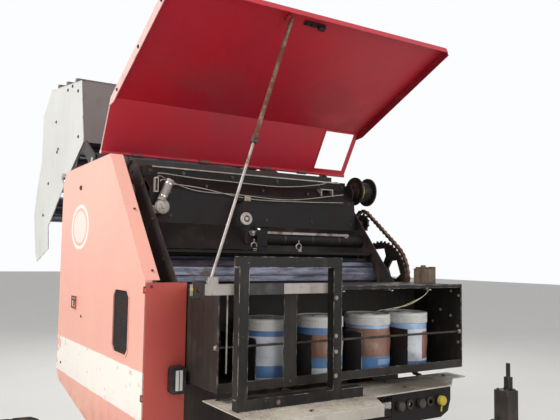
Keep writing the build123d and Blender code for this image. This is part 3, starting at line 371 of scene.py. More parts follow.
# Camera, fitted to the photo
camera_data = bpy.data.cameras.new("camera")
camera_data.lens = 41.14
camera_data.sensor_width = 36
camera_data.clip_start = 0.05
camera_data.clip_end = 200
camera = link(camera_data, "camera")
bpy.context.scene.camera = camera
camera_way = Vector((0.531, 0.844, 0.073)).normalized()
camera_right = camera_way.cross(Vector((-0.052, -0.054, 0.997))).normalized()
camera_axes = Matrix((camera_right, camera_right.cross(camera_way), -camera_way)).transposed()
camera.matrix_world = Matrix.Translation(at(-1.653, -2.436, 1.70)) @ camera_axes.to_4x4()

# Floor, lamps and world
floor_mesh = bpy.data.meshes.new("floor")
floor_mesh.from_pydata([(-40, -40, 0), (40, -40, 0), (40, 60, 0), (-40, 60, 0)], [], [(0, 1, 2, 3)])
floor = link(floor_mesh, "floor")
floor_finish = Finish("floor_finish", (214, 212, 208), 0.8)
floor_finish.put("Base Color", floor_finish.mix(floor_finish.noise(1.2, 4), (212, 210, 206), (220, 218, 214)))
floor.data.materials.append(floor_finish.material)


def lamp(name, place, target, size, power, color):
    data = bpy.data.lights.new(name, "AREA")
    data.shape = "DISK"
    data.size = size
    data.energy = power
    data.color = color
    made = link(data, name)
    made.location = place
    made.rotation_mode = "QUATERNION"
    made.rotation_quaternion = (Vector(target) - Vector(place)).to_track_quat("-Z", "Y")


lamp("sun_side_lamp", (-7.5, -1.0, 7.5), (0, 0, 1.3), 3.0, 620, (1.0, 0.98, 0.94))
lamp("front_lamp", (2.0, -8.0, 4.0), (0, 0, 1.4), 6.0, 260, (0.97, 0.98, 1.0))
lamp("back_lamp", (4.0, 7.0, 6.0), (0, 0, 1.5), 5.0, 260, (1, 1, 1))

world = bpy.data.worlds.new("studio")
bpy.context.scene.world = world
world.use_nodes = True
sky = world.node_tree
rays = sky.nodes.new("ShaderNodeLightPath").outputs


def either(first, second):
    made = sky.nodes.new("ShaderNodeMath")
    made.operation = "MAXIMUM"
    sky.links.new(first, made.inputs[0])
    sky.links.new(second, made.inputs[1])
    return made.outputs[0]


# Full white where it is seen, straight or in glass and metal, and dimmer as light
seen = either(rays["Is Camera Ray"], either(rays["Is Glossy Ray"], rays["Is Transmission Ray"]))
level = sky.nodes.new("ShaderNodeMapRange")
level.inputs["To Min"].default_value = 0.55
level.inputs["To Max"].default_value = 1.0
sky.links.new(seen, level.inputs["Value"])
background = sky.nodes["Background"]
background.inputs["Color"].default_value = (0.97, 0.98, 1.0, 1)
sky.links.new(level.outputs[0], background.inputs["Strength"])
bpy.context.scene.view_settings.view_transform = "Standard"


# Angles of a full turn, evenly spaced
def turns(count):
    return [2 * math.pi * k / count for k in range(count)]


def sides_of(way):
    # Two directions square to a way and to each other
    side = way.orthogonal().normalized()
    return side, way.cross(side)


# Each piece is one mesh that grows shape by shape
class Piece:
    def __init__(self, name, finish, body="frame"):
        self.name = name
        self.finish = finish
        self.body = body
        self.mesh = bmesh.new()

    def skin(self, rings, closed=False):
        # Rings of equal count, each joined to the next, then back to the first or shut by end faces
        made = [[self.mesh.verts.new(point) for point in ring] for ring in rings]
        count = len(rings[0])
        for here, after in zip(made, made[1:] + made[:1] if closed else made[1:]):
            for index in range(count):
                ahead = (index + 1) % count
                self.mesh.faces.new((here[index], here[ahead], after[ahead], after[index]))
        if not closed:
            self.mesh.faces.new(made[0][::-1])
            self.mesh.faces.new(made[-1])
        return self

    def round_skin(self, stations, side, other, sides):
        # Circles of a given centre and radius, one after the other
        return self.skin([[centre + (side * math.cos(t) + other * math.sin(t)) * radius for t in turns(sides)]
                          for centre, radius in stations])

    def rod(self, start, end, radius, sides=12, chamfer=0.0):
        length = (end - start).length
        way = (end - start).normalized()
        stations = [(0, radius), (length, radius)]
        if chamfer:
            stations = [(0, radius - chamfer), (chamfer, radius), (length - chamfer, radius),
                        (length, radius - chamfer)]
        circles = [(start + way * reach, wide) for reach, wide in stations]
        return self.round_skin(circles, *sides_of(way), sides)

    def rods(self, points, radius, sides=8):
        for start, end in zip(points, points[1:]):
            self.rod(start, end, radius, sides)
        return self

    def hose(self, points, radius, sides=10, steps=6):
        # A smooth tube through points
        line = []
        padded = [points[0] * 2 - points[1], *points, points[-1] * 2 - points[-2]]
        for a, b, c, d in zip(padded, padded[1:], padded[2:], padded[3:]):
            for t in (k / steps for k in range(steps)):
                line.append(0.5 * ((2 * b) + (c - a) * t + (2 * a - 5 * b + 4 * c - d) * t * t
                                   + (3 * b - a - 3 * c + d) * t ** 3))
        line.append(points[-1])
        side = (line[1] - line[0]).orthogonal().normalized()
        rings = []
        for index, centre in enumerate(line):
            ahead = line[min(index + 1, len(line) - 1)] - line[max(index - 1, 0)]
            ahead.normalize()
            side = (side - ahead * side.dot(ahead)).normalized()
            other = ahead.cross(side)
            rings.append([centre + (side * math.cos(t) + other * math.sin(t)) * radius for t in turns(sides)])
        return self.skin(rings)

    def slab(self, low, high, chamfer=0.002, turn=None):
        # A box with chamfered edges, turned about its centre by turn if given
        centre = (low + high) / 2
        half = (high - low) / 2
        box = bmesh.new()
        bmesh.ops.create_cube(box, size=2)
        for vert in box.verts:
            vert.co = Vector((vert.co.x * half.x, vert.co.y * half.y, vert.co.z * half.z))
        bevel = min(chamfer, min(half) * 0.45)
        bmesh.ops.bevel(box, geom=box.edges[:], offset=bevel, segments=1, affect="EDGES")
        spin = turn or Matrix.Identity(3)
        made = {vert: self.mesh.verts.new(centre + spin @ vert.co) for vert in box.verts}
        for face in box.faces:
            self.mesh.faces.new([made[vert] for vert in face.verts])
        box.free()
        return self

    def bolt(self, place, way, width=0.009, height=0.006):
        # A washer and a six-sided head
        washer = 0.0015
        way = way.normalized()
        self.rod(place, place + way * washer, width * 1.25, 14)
        return self.rod(place + way * washer, place + way * height, width, 6, chamfer=width * 0.12)

    def turned(self, place, way, profile, sides=32):
        # A solid of revolution: profile is (along, radius) from the first end to the last
        way = way.normalized()
        return self.round_skin([(place + way * along, max(radius, 0.0004)) for along, radius in profile],
                               *sides_of(way), sides)

    def ring(self, place, way, profile, sides=48):
        # A closed ring: profile is a closed line of (along, radius)
        way = way.normalized()
        side, other = sides_of(way)
        return self.skin([[place + way * along + (side * math.cos(t) + other * math.sin(t)) * radius
                           for along, radius in profile] for t in turns(sides)], True)

    def rim(self, outer, inner, low, high):
        # A raised frame between two outlines of equal count, standing from low to high
        return self.skin([[point + low for point in outer], [point + high for point in outer],
                          [point + high for point in inner], [point + low for point in inner]], True)

    def done(self, smooth=30.0):
        bmesh.ops.recalc_face_normals(self.mesh, faces=self.mesh.faces[:])
        data = bpy.data.meshes.new(self.name)
        self.mesh.to_mesh(data)
        self.mesh.free()
        data.materials.append(self.finish.material)
        data.polygons.foreach_set("use_smooth", [True] * len(data.polygons))
        data.set_sharp_from_angle(angle=math.radians(smooth))
        piece = link(data, self.name)
        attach(piece, self.body)
        return piece


def dress(finish, *names):
    for name in names:
        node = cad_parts[name]
        node.data.materials.clear()
        node.data.materials.append(finish.material)


def turned_place(y, z, hinge_y, hinge_z, degrees):
    # A point of the side view after a turn about a hinge
    turn = math.radians(degrees)
    y -= hinge_y
    z -= hinge_z
    return (hinge_y + y * math.cos(turn) - z * math.sin(turn),
            hinge_z + y * math.sin(turn) + z * math.cos(turn))


def bolts(name, body, finish, places, way=None, width=0.009, height=0.006):
    # Without a way, each bolt points out of its own side of the machine
    made = Piece(name, finish, body)
    for place in places:
        outward = LEFT * math.copysign(1, place.x)
        made.bolt(place, outward if way is None else way, width, height)
    made.done()


def wire_line(wire, radius, sides=8, flat=1.0):
    # The profile of a ring bent from wire, flattened along its axis
    return [(wire * flat * math.cos(t), radius + wire * math.sin(t)) for t in turns(sides)]


LEFT = Vector((1, 0, 0))
RIGHT = Vector((-1, 0, 0))
FRONT = Vector((0, -1, 0))
BACK = Vector((0, 1, 0))
UP = Vector((0, 0, 1))
DOWN = Vector((0, 0, -1))
SIDES = ((1, "left"), (-1, "right"))

# What each node of the solid model wears
for finish, nodes in (
        (sunlit_door_paint, "door_right"),
        (panel_paint, "front_panel"),
        (hood_paint, "hood"),
        (flange_paint, "hood_flanges"),
        (gate_paint, "gate_sides"),
        (shaded_skin_paint, "gate_skin"),
        (plate_paint, "side_plates gate_arms cross_tubes frame_brackets"),
        (red_paint, "axle drawbar hitch_ring"),
        (black_paint, "box_supports ram_barrel_left ram_barrel_right jack_tube jack_leg pickup_frame drum"),
        (black_paint, "door_grille"),
        (net_paint, "net_unit twine_arm hose_holder"),
        (box_paint, "twine_box"),
        (post_paint, "step_frame"),
        (bar_paint, "stay_bar net_actuator"),
        (deck_paint, "platform"),
        (roller_steel, "main_rollers gate_rollers"),
        (bright_steel, "ram_rod_left ram_rod_right hinge_pins cross_shaft shaft_yokes"),
        (dull_steel, "stay_rod"),
        (stay_steel, "stay_tube"),
        (dark_steel, "sprockets"),
        (rusty_steel, "pickup_reel pickup_strippers"),
        (chain_steel, "drive_chains"),
        (rim_paint, "rim_left rim_right"),
        (cream_paint, "main_bearings gate_bearings"),
        (tyre_rubber, "tyre_left tyre_right gauge_wheel_left gauge_wheel_right"),
        (black_plastic, "lamp_body shaft_guard"),
        (lens_glass, "lamp_lens"),
        (housing_paint, "gearbox oiler")):
    dress(finish, *nodes.split())

# Right door: slot with its lip and mesh, latch, bolts and the hem of its sheet
LATCH_STEP = 0.006
DOOR_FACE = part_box("door_right")[0].x + LATCH_STEP
slot_front, slot_rear, slot_low, slot_high = 0.190, 0.395, 1.275, 1.548
slot_corner = 0.026


def slot_outline(grow):
    front, rear, low, high = slot_front - grow, slot_rear + grow, slot_low - grow, slot_high + grow
    corner = slot_corner
    return [at(0, y, z) for y, z in (
        (front + corner, low), (rear - corner, low), (rear, low + corner), (rear, high - corner),
        (rear - corner, high), (front + corner, high), (front, high - corner), (front, low + corner))]


# The slot's lip wears the door's pale paint, which also stands for painted highlights on its rim
lip_ends = (LEFT * (DOOR_FACE + 0.0035), LEFT * (DOOR_FACE - 0.003))
Piece("slot_lip", sunlit_door_paint, "door").rim(slot_outline(0.005), slot_outline(-0.002), *lip_ends).done()

slot_mesh = Piece("slot_mesh", dark_steel, "door")
mesh_pitch = 0.011
mesh_wire = 0.0011
mesh_end = 0.004
upright_x, level_x = DOOR_FACE + 0.0028, DOOR_FACE + 0.0018
for k in range(1, int((slot_rear - slot_front) / mesh_pitch) + 1):
    y = slot_front + k * mesh_pitch
    slot_mesh.rod(at(upright_x, y, slot_low + mesh_end), at(upright_x, y, slot_high - mesh_end), mesh_wire, 6)
for k in range(1, int((slot_high - slot_low) / mesh_pitch) + 1):
    z = slot_low + k * mesh_pitch
    slot_mesh.rod(at(level_x, slot_front + mesh_end, z), at(level_x, slot_rear - mesh_end, z), mesh_wire, 6)
slot_mesh.done()


def latch_outline(inset):
    front, rear, low, high = 1.005 + inset, 1.091 - inset, 1.412 + inset, 1.476 - inset
    return [at(0, y, z) for y, z in ((front, low), (rear, low), (rear, high), (front, high))]


latch = Piece("door_latch", dark_bolt, "door")
latch_face = DOOR_FACE - LATCH_STEP
latch.rim(latch_outline(0), latch_outline(0.008), LEFT * latch_face, LEFT * (latch_face - 0.0025))
latch.slab(at(latch_face - 0.004, 1.020, 1.452), at(latch_face, 1.076, 1.462), 0.002)
latch.slab(at(latch_face - 0.003, 1.030, 1.424), at(latch_face, 1.046, 1.452), 0.001)
latch.done()

bolts("door_bolts", "door", dark_bolt, [at(DOOR_FACE, 1.006, 2.051)], RIGHT, 0.011, 0.008)
rivet_places = ((0.917, 1.380), (1.300, 1.092), (0.085, 0.90))
bolts("door_rivets", "door", dark_bolt, [at(DOOR_FACE, y, z) for y, z in rivet_places], RIGHT, 0.006, 0.004)

ridge_low = Vector((0, 0.010, 1.600))
ridge_high = Vector((0, 0.521, 2.174))
ridge_way = (ridge_high - ridge_low).normalized()
ridge_out = Vector((0, -ridge_way.z, ridge_way.y))
ridge_spots = [ridge_low.lerp(ridge_high, share) + ridge_out * 0.004 for share in (0.06, 0.52)]
ridge_places = [at(DOOR_FACE + 0.040, spot.y, spot.z) for spot in ridge_spots]
bolts("ridge_bolts", "door", dark_bolt, ridge_places, ridge_out, 0.0045, 0.004)

hem = [(0.521, 2.172), (1.330, 2.166), (1.389, 2.099), (1.389, 1.041), (1.329, 0.992), (0.780, 0.894),
       (0.012, 0.762)]
Piece("door_hem", sunlit_door_paint, "door").rods([at(DOOR_FACE + 0.0018, y, z) for y, z in hem], 0.0025).done()

# Front panel and its lamp
panel_places = ((-0.585, 0.80), (-0.718, 1.574), (-0.718, 0.80))
bolts("panel_bolts", "frame", dark_bolt, [at(x, -0.0002, z) for x, z in panel_places], FRONT, 0.005, 0.004)
knuckle_pins = Piece("knuckle_pins", dark_bolt)
for z in (1.136, 1.560):
    knuckle_pins.turned(at(-0.736, 0.015, z + 0.0082), UP, [(0, 0.0052), (0.002, 0.0052), (0.003, 0.003)], 14)
knuckle_pins.done()

lamp_low, lamp_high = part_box("lamp_body")
lens_low, lens_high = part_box("lamp_lens")
lens_middle = (lens_low + lens_high) / 2


def lens_outline(grow):
    right, left = lens_low.x - grow, lens_high.x + grow
    low, high = lens_low.z - grow, lens_high.z + grow
    return [Vector((x, 0, z)) for x, z in ((right, low), (left, low), (left, high), (right, high))]


lamp_bezel = Piece("lamp_bezel", black_plastic)
lamp_bezel.rim(lens_outline(0.005), lens_outline(0), BACK * (lamp_low.y + 0.0005),
               BACK * (lamp_low.y - 0.003))
for z in (lamp_low.z + 0.009, lamp_high.z - 0.009):
    lamp_bezel.bolt(Vector((lens_middle.x, lamp_low.y, z)), FRONT, 0.0035, 0.003)
lamp_bezel.done()
Piece("lens_bar", black_plastic).slab(
    Vector((lens_middle.x - 0.0015, lens_low.y - 0.0012, lens_low.z + 0.002)),
    Vector((lens_middle.x + 0.0015, lens_low.y, lens_high.z - 0.002)), 0.0005).done()

# Tailgate: bolts of its sides and skin, folded edges, caps of its pins
GATE_HINGE = (1.250, 2.240)
GATE_OPEN = 75
GATE_EYE = (1.290, 1.830)


def gate_at(x, y, z):
    return at(x, *turned_place(y, z, *GATE_HINGE, GATE_OPEN))


gate_face = -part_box("gate_sides")[0].x
# Of each bolt: y, z with the gate open
gate_bolt_places = ((2.074, 2.416), (2.100, 2.398), (1.861, 2.783), (1.600, 2.722), (1.556, 2.424),
                    (2.457, 1.978), (1.742, 2.783), (2.160, 2.620), (2.330, 2.200))
bolts("gate_bolts", "tailgate", dark_bolt,
      [at(side * gate_face, y, z) for side in (-1, 1) for y, z in gate_bolt_places])

# Of each corner of a gate side: y, z with the gate shut
gate_line = [(1.430, 2.090), (1.840, 2.100), (2.150, 1.360), (2.060, 1.080), (1.730, 1.000), (1.590, 0.840),
             (1.400, 0.700), (1.090, 0.725), (1.022, 0.772), (1.022, 1.128), (1.184, 1.140), (1.330, 1.630)]
gate_edges = Piece("gate_edges", gate_paint, "tailgate")
for side in (-1, 1):
    corners = [gate_at(side * (gate_face - 0.002), y, z) for y, z in gate_line + gate_line[:1]]
    gate_edges.rods(corners, 0.0026)
gate_edges.done()

skin_high, skin_low = (Vector((0, *corner)) for corner in gate_line[1:3])
skin_way = (skin_low - skin_high).normalized()
skin_out = Vector((0, -skin_way.z, skin_way.y))
skin_bolt_way = Vector((0, *turned_place(skin_out.y, skin_out.z, 0, 0, GATE_OPEN)))
skin_spots = [skin_high.lerp(skin_low, share) + skin_out * 0.004
              for share in (0.04, 0.2, 0.36, 0.5, 0.65, 0.8, 0.96)]
skin_places = [gate_at(x, spot.y, spot.z) for spot in skin_spots for x in (-0.600, 0.600)]
bolts("skin_bolts", "tailgate", dark_bolt, skin_places, skin_bolt_way, 0.008, 0.005)

arm_bolts = Piece("arm_bolts", dark_bolt, "tailgate")
for side in (-1, 1):
    for y, z in (GATE_HINGE, GATE_EYE):
        place = gate_at(side * 0.6125, y, z)
        arm_bolts.turned(place, LEFT * -side, [(0, 0.03), (0.0015, 0.03), (0.0035, 0.026)], 24)
arm_bolts.done()

# Hood: catch, bolts, window edge and hinge straps, placed on the shut hood and turned open with it
HOOD_HINGE = (0.660, 2.200)
HOOD_OPEN = -66
HOOD_SHEET = 0.003
HOOD_HALF = 0.750
hood_lip = Vector((0, -0.2006, 1.6627))
hood_crease = Vector((0, 0.382, 2.1663))
slope_way = (hood_lip - hood_crease).normalized()
slope_under = Vector((0, -slope_way.z, slope_way.y))


def hood_at(x, back, under):
    spot = hood_lip - slope_way * back + slope_under * (under + HOOD_SHEET)
    return at(x, *turned_place(spot.y, spot.z, *HOOD_HINGE, HOOD_OPEN))


def hood_way(vector):
    return Vector((vector.x, *turned_place(vector.y, vector.z, 0, 0, HOOD_OPEN)))


under_way = hood_way(slope_under)
hood_turn = Matrix((LEFT, hood_way(-slope_way), under_way)).transposed()
catch_back = 0.052
catch_plate = 0.005
hood_catch = Piece("hood_catch", dark_steel, "hood")
# Of each block: middle x, back from the lip, top under the sheet, length, depth, thickness
for x, back, under, length, depth, thick in (
        (-0.035, catch_back, 0.0, 0.110, 0.026, catch_plate),
        (-0.004, 0.050, catch_plate, 0.034, 0.020, 0.022)):
    centre = hood_at(x, back, under + thick / 2)
    half = Vector((length, depth, thick)) / 2
    hood_catch.slab(centre - half, centre + half, 0.002, hood_turn)
for x in (-0.078, -0.050, -0.028):
    hood_catch.bolt(hood_at(x, catch_back, catch_plate), under_way, 0.007, 0.006)
hood_catch.done()

hood_places = [hood_at(x, back, 0.020) for x in (-HOOD_HALF, HOOD_HALF) for back in (0.10, 0.38, 0.68)]
bolts("hood_bolts", "hood", dark_bolt, hood_places, None, 0.007, 0.005)
bracket_places = [hood_at(-0.1965, back, 0.012) for back in (0.03, catch_back)]
bolts("stay_bracket_bolts", "hood", dark_bolt, bracket_places, RIGHT, 0.005, 0.004)

window_low = (0.390, 2.1672)
window_high = (0.630, 2.1965)
window_right, window_left = 0.514, 0.722
window_corners = [(window_right, window_low), (window_left, window_low), (window_left, window_high),
                  (window_right, window_high), (window_right, window_low)]
window_line = [at(x, *turned_place(y, z - 0.001, *HOOD_HINGE, HOOD_OPEN)) for x, (y, z) in window_corners]
Piece("window_edge", hood_paint, "hood").rods(window_line, 0.0036).done()

hinge_straps = Piece("hinge_straps", red_paint, "hood")
strap_length = 0.06
strap_line = [(0, 0.0125), (0.001, 0.0135), (strap_length - 0.001, 0.0135), (strap_length, 0.0125)]
for x in (-0.56, -0.19, 0.19, 0.44):
    hinge_straps.turned(at(x - strap_length / 2, *HOOD_HINGE), LEFT, strap_line, 20)
hinge_straps.done()

# Stay of the hood: collar of its tube and clip of its foot
stay_foot = at(-0.630, -0.345, 1.606)
stay_tube_low, stay_tube_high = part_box("stay_tube")
stay_run = (stay_tube_low + stay_tube_high) / 2 - stay_foot
stay_way = stay_run.normalized()
collar_place = stay_foot + stay_way * (stay_run.length * 0.648)
collar_line = [(0, 0.0092), (0, 0.0125), (0.004, 0.0135), (0.030, 0.0135), (0.034, 0.0125), (0.034, 0.0092)]
screw_way = LEFT.cross(stay_way)
screw_place = collar_place + stay_way * 0.017
stay_collar = Piece("stay_collar", dark_bolt, "stay_tube")
stay_collar.ring(collar_place, stay_way, collar_line, 20)
stay_collar.rod(screw_place + screw_way * 0.012, screw_place + screw_way * 0.030, 0.003, 10)
stay_collar.done()
foot_pin_way = Vector((0, -0.9853, 0.1711))
clip_line = [(0, 0.0085), (0.0012, 0.009), (0.003, 0.009), (0.004, 0.007)]
Piece("stay_clip", bright_steel).turned(stay_foot + foot_pin_way * 0.015, foot_pin_way, clip_line, 18).done()

# Net and twine unit: leads along its beam, actuator, arm and bars
beam_leads = Piece("beam_leads", wire_sheath)
lead_lines = [
    [(-0.553, 0.392, 2.081), (-0.526, 0.392, 2.084), (-0.354, 0.392, 2.074), (-0.172, 0.392, 2.071),
     (0.124, 0.392, 2.067), (0.360, 0.392, 2.093), (0.449, 0.392, 2.118)],
    [(-0.557, 0.352, 2.041), (-0.528, 0.352, 2.048), (-0.371, 0.352, 2.009), (-0.135, 0.352, 2.004),
     (0.162, 0.352, 1.997), (0.512, 0.352, 2.046)],
    [(-0.529, 0.349, 2.034), (-0.355, 0.349, 2.023), (-0.079, 0.349, 1.987), (0.223, 0.349, 1.990),
     (0.508, 0.349, 2.001)],
]
for line in lead_lines:
    beam_leads.hose([at(*point) for point in line], 0.0022, 8, 8)
beam_leads.done()
lead_clips = Piece("lead_clips", black_plastic)
for x in (-0.30, 0.02, 0.30):
    lead_clips.slab(at(x - 0.005, 0.386, 2.030), at(x + 0.005, 0.410, 2.046))
lead_clips.done()

beam_front = 0.450
Piece("beam_edge", cream_paint).slab(at(-0.560, beam_front - 0.0045, 2.118), at(0.560, beam_front, 2.1245),
                                     0.001).done()
beam_places = [at(x, beam_front, 2.100) for x in (-0.57, -0.40, -0.13, 0.14, 0.41, 0.57)]
bolts("beam_bolts", "frame", dark_steel, beam_places, FRONT, 0.009, 0.007)

disc_front = at(-0.556, 0.3095, 1.921)
actuator_fittings = Piece("actuator_fittings", cream_paint)
actuator_fittings.turned(disc_front, FRONT, [(0, 0.030), (0.003, 0.030), (0.006, 0.024), (0.006, 0.010),
                                             (0.012, 0.009)], 28)
for t in turns(5):
    place = disc_front + FRONT * 0.003 + LEFT * 0.021 * math.cos(t) + UP * 0.021 * math.sin(t)
    actuator_fittings.bolt(place, FRONT, 0.0035, 0.005)
actuator_fittings.done()
actuator_foot = at(-0.562, 0.318, 1.948)
actuator_way = (at(-0.518, 0.318, 2.046) - actuator_foot).normalized()
actuator_bands = Piece("actuator_bands", bright_steel)
for reach in (0.018, 0.082):
    actuator_bands.ring(actuator_foot + actuator_way * reach, actuator_way,
                        [(0, 0.019), (0, 0.0208), (0.007, 0.0208), (0.007, 0.019)], 28)
actuator_bands.done()


def strap_outline(side_inset, end_inset):
    right, left = -0.602 + side_inset, -0.584 - side_inset
    low, high = 1.985 + end_inset, 2.052 - end_inset
    return [at(x, 0, z) for x, z in ((right, low), (left, low), (left, high), (right, high))]


strap = Piece("actuator_strap", dull_steel)
strap.rim(strap_outline(0, 0), strap_outline(0.003, 0.005), BACK * 0.300, BACK * 0.318)
strap.hose([at(-0.590, 0.310, 2.052), at(-0.575, 0.312, 2.060), at(-0.550, 0.315, 2.052),
            at(-0.536, 0.318, 2.042)], 0.003, 8)
strap.done()

arm_centre = at(-0.156, 0.2535, 1.880)
arm_wheel = Piece("arm_wheel", cream_paint)
arm_wheel.ring(arm_centre, FRONT, [(0, 0.016), (0, 0.029), (0.004, 0.031), (0.006, 0.024), (0.010, 0.031),
                                   (0.014, 0.029), (0.014, 0.016)], 30)
arm_wheel.bolt(arm_centre, FRONT, 0.010, 0.016)
arm_wheel.done()
arm_clamp = Piece("arm_clamp", cream_paint)
arm_clamp.slab(at(-0.160, 0.254, 1.966), at(-0.128, 0.262, 1.990), 0.003)
arm_clamp.bolt(at(-0.144, 0.254, 1.978), FRONT, 0.007, 0.007)
arm_clamp.done()

knife_bar = Piece("knife_bar", dull_steel)
knife_bar.slab(at(-0.100, 0.284, 1.812), at(0.500, 0.292, 1.826))
for x in (-0.085, 0.485):
    knife_bar.slab(at(x - 0.012, 0.288, 1.800), at(x + 0.012, 0.345, 1.8268))
knife_bar.done()

twine_eyes = Piece("twine_eyes", dull_steel)
for x in (-0.102, 0.160):
    twine_eyes.ring(at(x, 0.262, 1.752), FRONT, wire_line(0.004, 0.015, flat=0.9), 24)
    twine_eyes.rod(at(x, 0.2605, 1.770), at(x, 0.262, 1.785), 0.003, 8)
    twine_eyes.slab(at(x - 0.010, 0.250, 1.727), at(x + 0.010, 0.2545, 1.740), 0.001)
twine_eyes.done()

cover_out = Vector((0, -0.160, 0.020)).normalized()
cover_places = [at(x, y, z) for x in (-0.50, 0.02, 0.30, 0.56) for y, z in ((0.3515, 1.885), (0.3675, 1.995))]
bolts("cover_bolts", "frame", dark_steel, cover_places, cover_out, 0.006, 0.004)

white_bracket = Piece("white_bracket", cream_paint)
# Of each plate: right, left, low, high and its chamfer
for right, left, low, high, chamfer in ((0.395, 0.475, 2.070, 2.0755, 0.002),
                                        (0.395, 0.400, 2.020, 2.070, 0.0015),
                                        (0.470, 0.475, 2.030, 2.070, 0.0015)):
    white_bracket.slab(at(right, 0.395, low), at(left, 0.4495, high), chamfer)
white_bracket.done()

sill_sheet = Piece("sill_sheet", net_paint)
# Of each plate on the sill and behind it: right, front and low, then left, rear and high
for low, high in (((-0.597, 0.2700, 1.701), (-0.020, 0.2735, 1.752)),
                  ((-0.080, 0.2700, 1.748), (-0.020, 0.2735, 1.830)),
                  ((-0.597, 0.2735, 1.7140), (0.597, 0.3325, 1.7165)),
                  ((-0.597, 0.3300, 1.6815), (0.597, 0.3325, 1.7150))):
    sill_sheet.slab(at(*low), at(*high), 0.001)
sill_sheet.rod(at(-0.590, 0.2700, 1.7025), at(-0.025, 0.2700, 1.7025), 0.0025, 8)
sill_sheet.done()

net_roller = (0.318, 1.790)
roller_caps = Piece("net_roller_caps", dark_steel)
net_roller_end = at(-0.042, *net_roller)
roller_caps.ring(net_roller_end, RIGHT, [(0.0005, 0.010), (0.0005, 0.0335), (0.004, 0.031), (0.004, 0.010)],
                 30)
roller_caps.bolt(net_roller_end, RIGHT, 0.010, 0.008)
for x in (0.09, 0.26, 0.43):
    roller_caps.ring(at(x, *net_roller), LEFT, [(0, 0.0342), (0, 0.0352), (0.010, 0.0352), (0.010, 0.0342)],
                     30)
roller_caps.done()

# Brake drum at the upper left, wound with a cord of yellow and black turns
drum_axis = (0.415, 2.078)
hub_line = [(0.0, 0.0128), (0.0, 0.050), (0.0025, 0.050), (0.0045, 0.044), (0.0045, 0.0128)]
Piece("drum_hub", black_plastic, "drum").ring(at(0.636, *drum_axis), RIGHT, hub_line, 40).done()
drum_winding = Piece("drum_winding", black_plastic, "drum")
yellow_turns = Piece("drum_yellow_turns", yellow_plastic, "drum")
for k in range(21):
    winding = yellow_turns if k < 7 else drum_winding
    winding.ring(at(0.6462 + k * 0.004, *drum_axis), LEFT, wire_line(0.0019, 0.0526, 6), 36)
drum_winding.done()
yellow_turns.done()
drum_face = at(0.738, *drum_axis)
drum_places = [drum_face + (BACK * math.cos(t) + UP * math.sin(t)) * 0.064 for t in turns(6)]
bolts("drum_bolts", "drum", dark_bolt, drum_places, LEFT, 0.006, 0.004)
bolts("drum_pin_nut", "frame", bolt_steel, [at(0.744, *drum_axis)], LEFT, 0.010, 0.010)

# Chamber rollers: end rings, and bearings with bolts and grease nipples
CHAMBER = (0.960, 1.360)
ROLLER_RING = 0.730
MAIN_ROLLERS = (60, 80, 100, 120, 161, 180, 199, 240, 262, 284)
GATE_ROLLERS = (-50, -29, -8, 13, 34)
LONG_SHAFTS = (161, 199)
BEARING_FACE = 0.634
ROLLER_END = 0.5971


def ring_place(angle):
    turn = math.radians(angle)
    return CHAMBER[0] + ROLLER_RING * math.cos(turn), CHAMBER[1] + ROLLER_RING * math.sin(turn)


bearing_bolts = Piece("bearing_bolts", dark_bolt)
nipples = Piece("grease_nipples", bright_steel)
for angle in MAIN_ROLLERS:
    y, z = ring_place(angle)
    for side in (-1, 1):
        face = BEARING_FACE * side
        way = LEFT * side
        for t in (math.radians(45 + 120 * k) for k in range(3)):
            bearing_bolts.bolt(at(face, y + 0.040 * math.cos(t), z + 0.040 * math.sin(t)), way, 0.0065, 0.005)
        nipples.turned(at(face, y + 0.006, z + 0.036), way,
                       [(0, 0.004), (0.004, 0.004), (0.006, 0.002), (0.010, 0.003)], 10)
        if side < 0 or angle not in LONG_SHAFTS:
            bearing_bolts.turned(at(face, y, z), way, [(0, 0.024), (0.003, 0.023), (0.005, 0.018)], 24)
bearing_bolts.done()
nipples.done()

for name, body, angles, place_of in (("roller_end_rings", "frame", MAIN_ROLLERS, at),
                                     ("gate_roller_rings", "tailgate", GATE_ROLLERS, gate_at)):
    end_rings = Piece(name, rusty_steel, body)
    for angle in angles:
        for side in (-1, 1):
            end_rings.ring(place_of(side * ROLLER_END, *ring_place(angle)), LEFT * side,
                           [(0, 0.026), (0, 0.088), (0.0012, 0.088), (0.0012, 0.026)], 32)
    end_rings.done()

# Side plates: bolts along their edges, y and z of each
plate_places = ((0.060, 0.80), (0.060, 1.10), (0.060, 1.52), (0.16, 1.68), (0.30, 1.86), (0.44, 2.03),
                (0.60, 2.11), (0.64, 2.155), (1.19, 2.16), (1.22, 2.14), (0.47, 0.60), (0.50, 0.57),
                (1.02, 0.545), (1.36, 1.95), (1.24, 1.36), (1.20, 0.70))
bolts("plate_bolts", "frame", dark_bolt, [at(x, y, z) for x in (-0.606, 0.606) for y, z in plate_places],
      height=0.007)

# Twine box: bolts of its end plate, worn hem, a light strip as painted highlight on an edge, eyes and nuts of
# its rod
box_low, box_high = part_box("twine_box")
BOX_TOP = 1.580
BOX_FRONT = -0.280
end_places = ((-0.060, 1.543), (-0.218, 1.547), (-0.266, 1.528), (-0.149, 1.452), (-0.215, 1.428),
              (-0.095, 1.390), (-0.259, 1.381), (-0.262, 1.305))
bolts("end_plate_bolts", "frame", bolt_steel, [at(box_high.x - 0.004, y, z) for y, z in end_places], RIGHT,
      0.006, 0.005)
hem_y = BOX_FRONT + 0.0005
box_hem = Piece("box_hem", box_paint)
box_hem.rod(at(box_low.x, hem_y, BOX_TOP - 0.0005), at(box_high.x, hem_y, BOX_TOP - 0.0005), 0.0035, 8)
for x in (box_low.x + 0.0015, box_high.x - 0.0015):
    box_hem.rod(at(x, hem_y, 1.190), at(x, hem_y, BOX_TOP), 0.0035, 8)
box_hem.done()
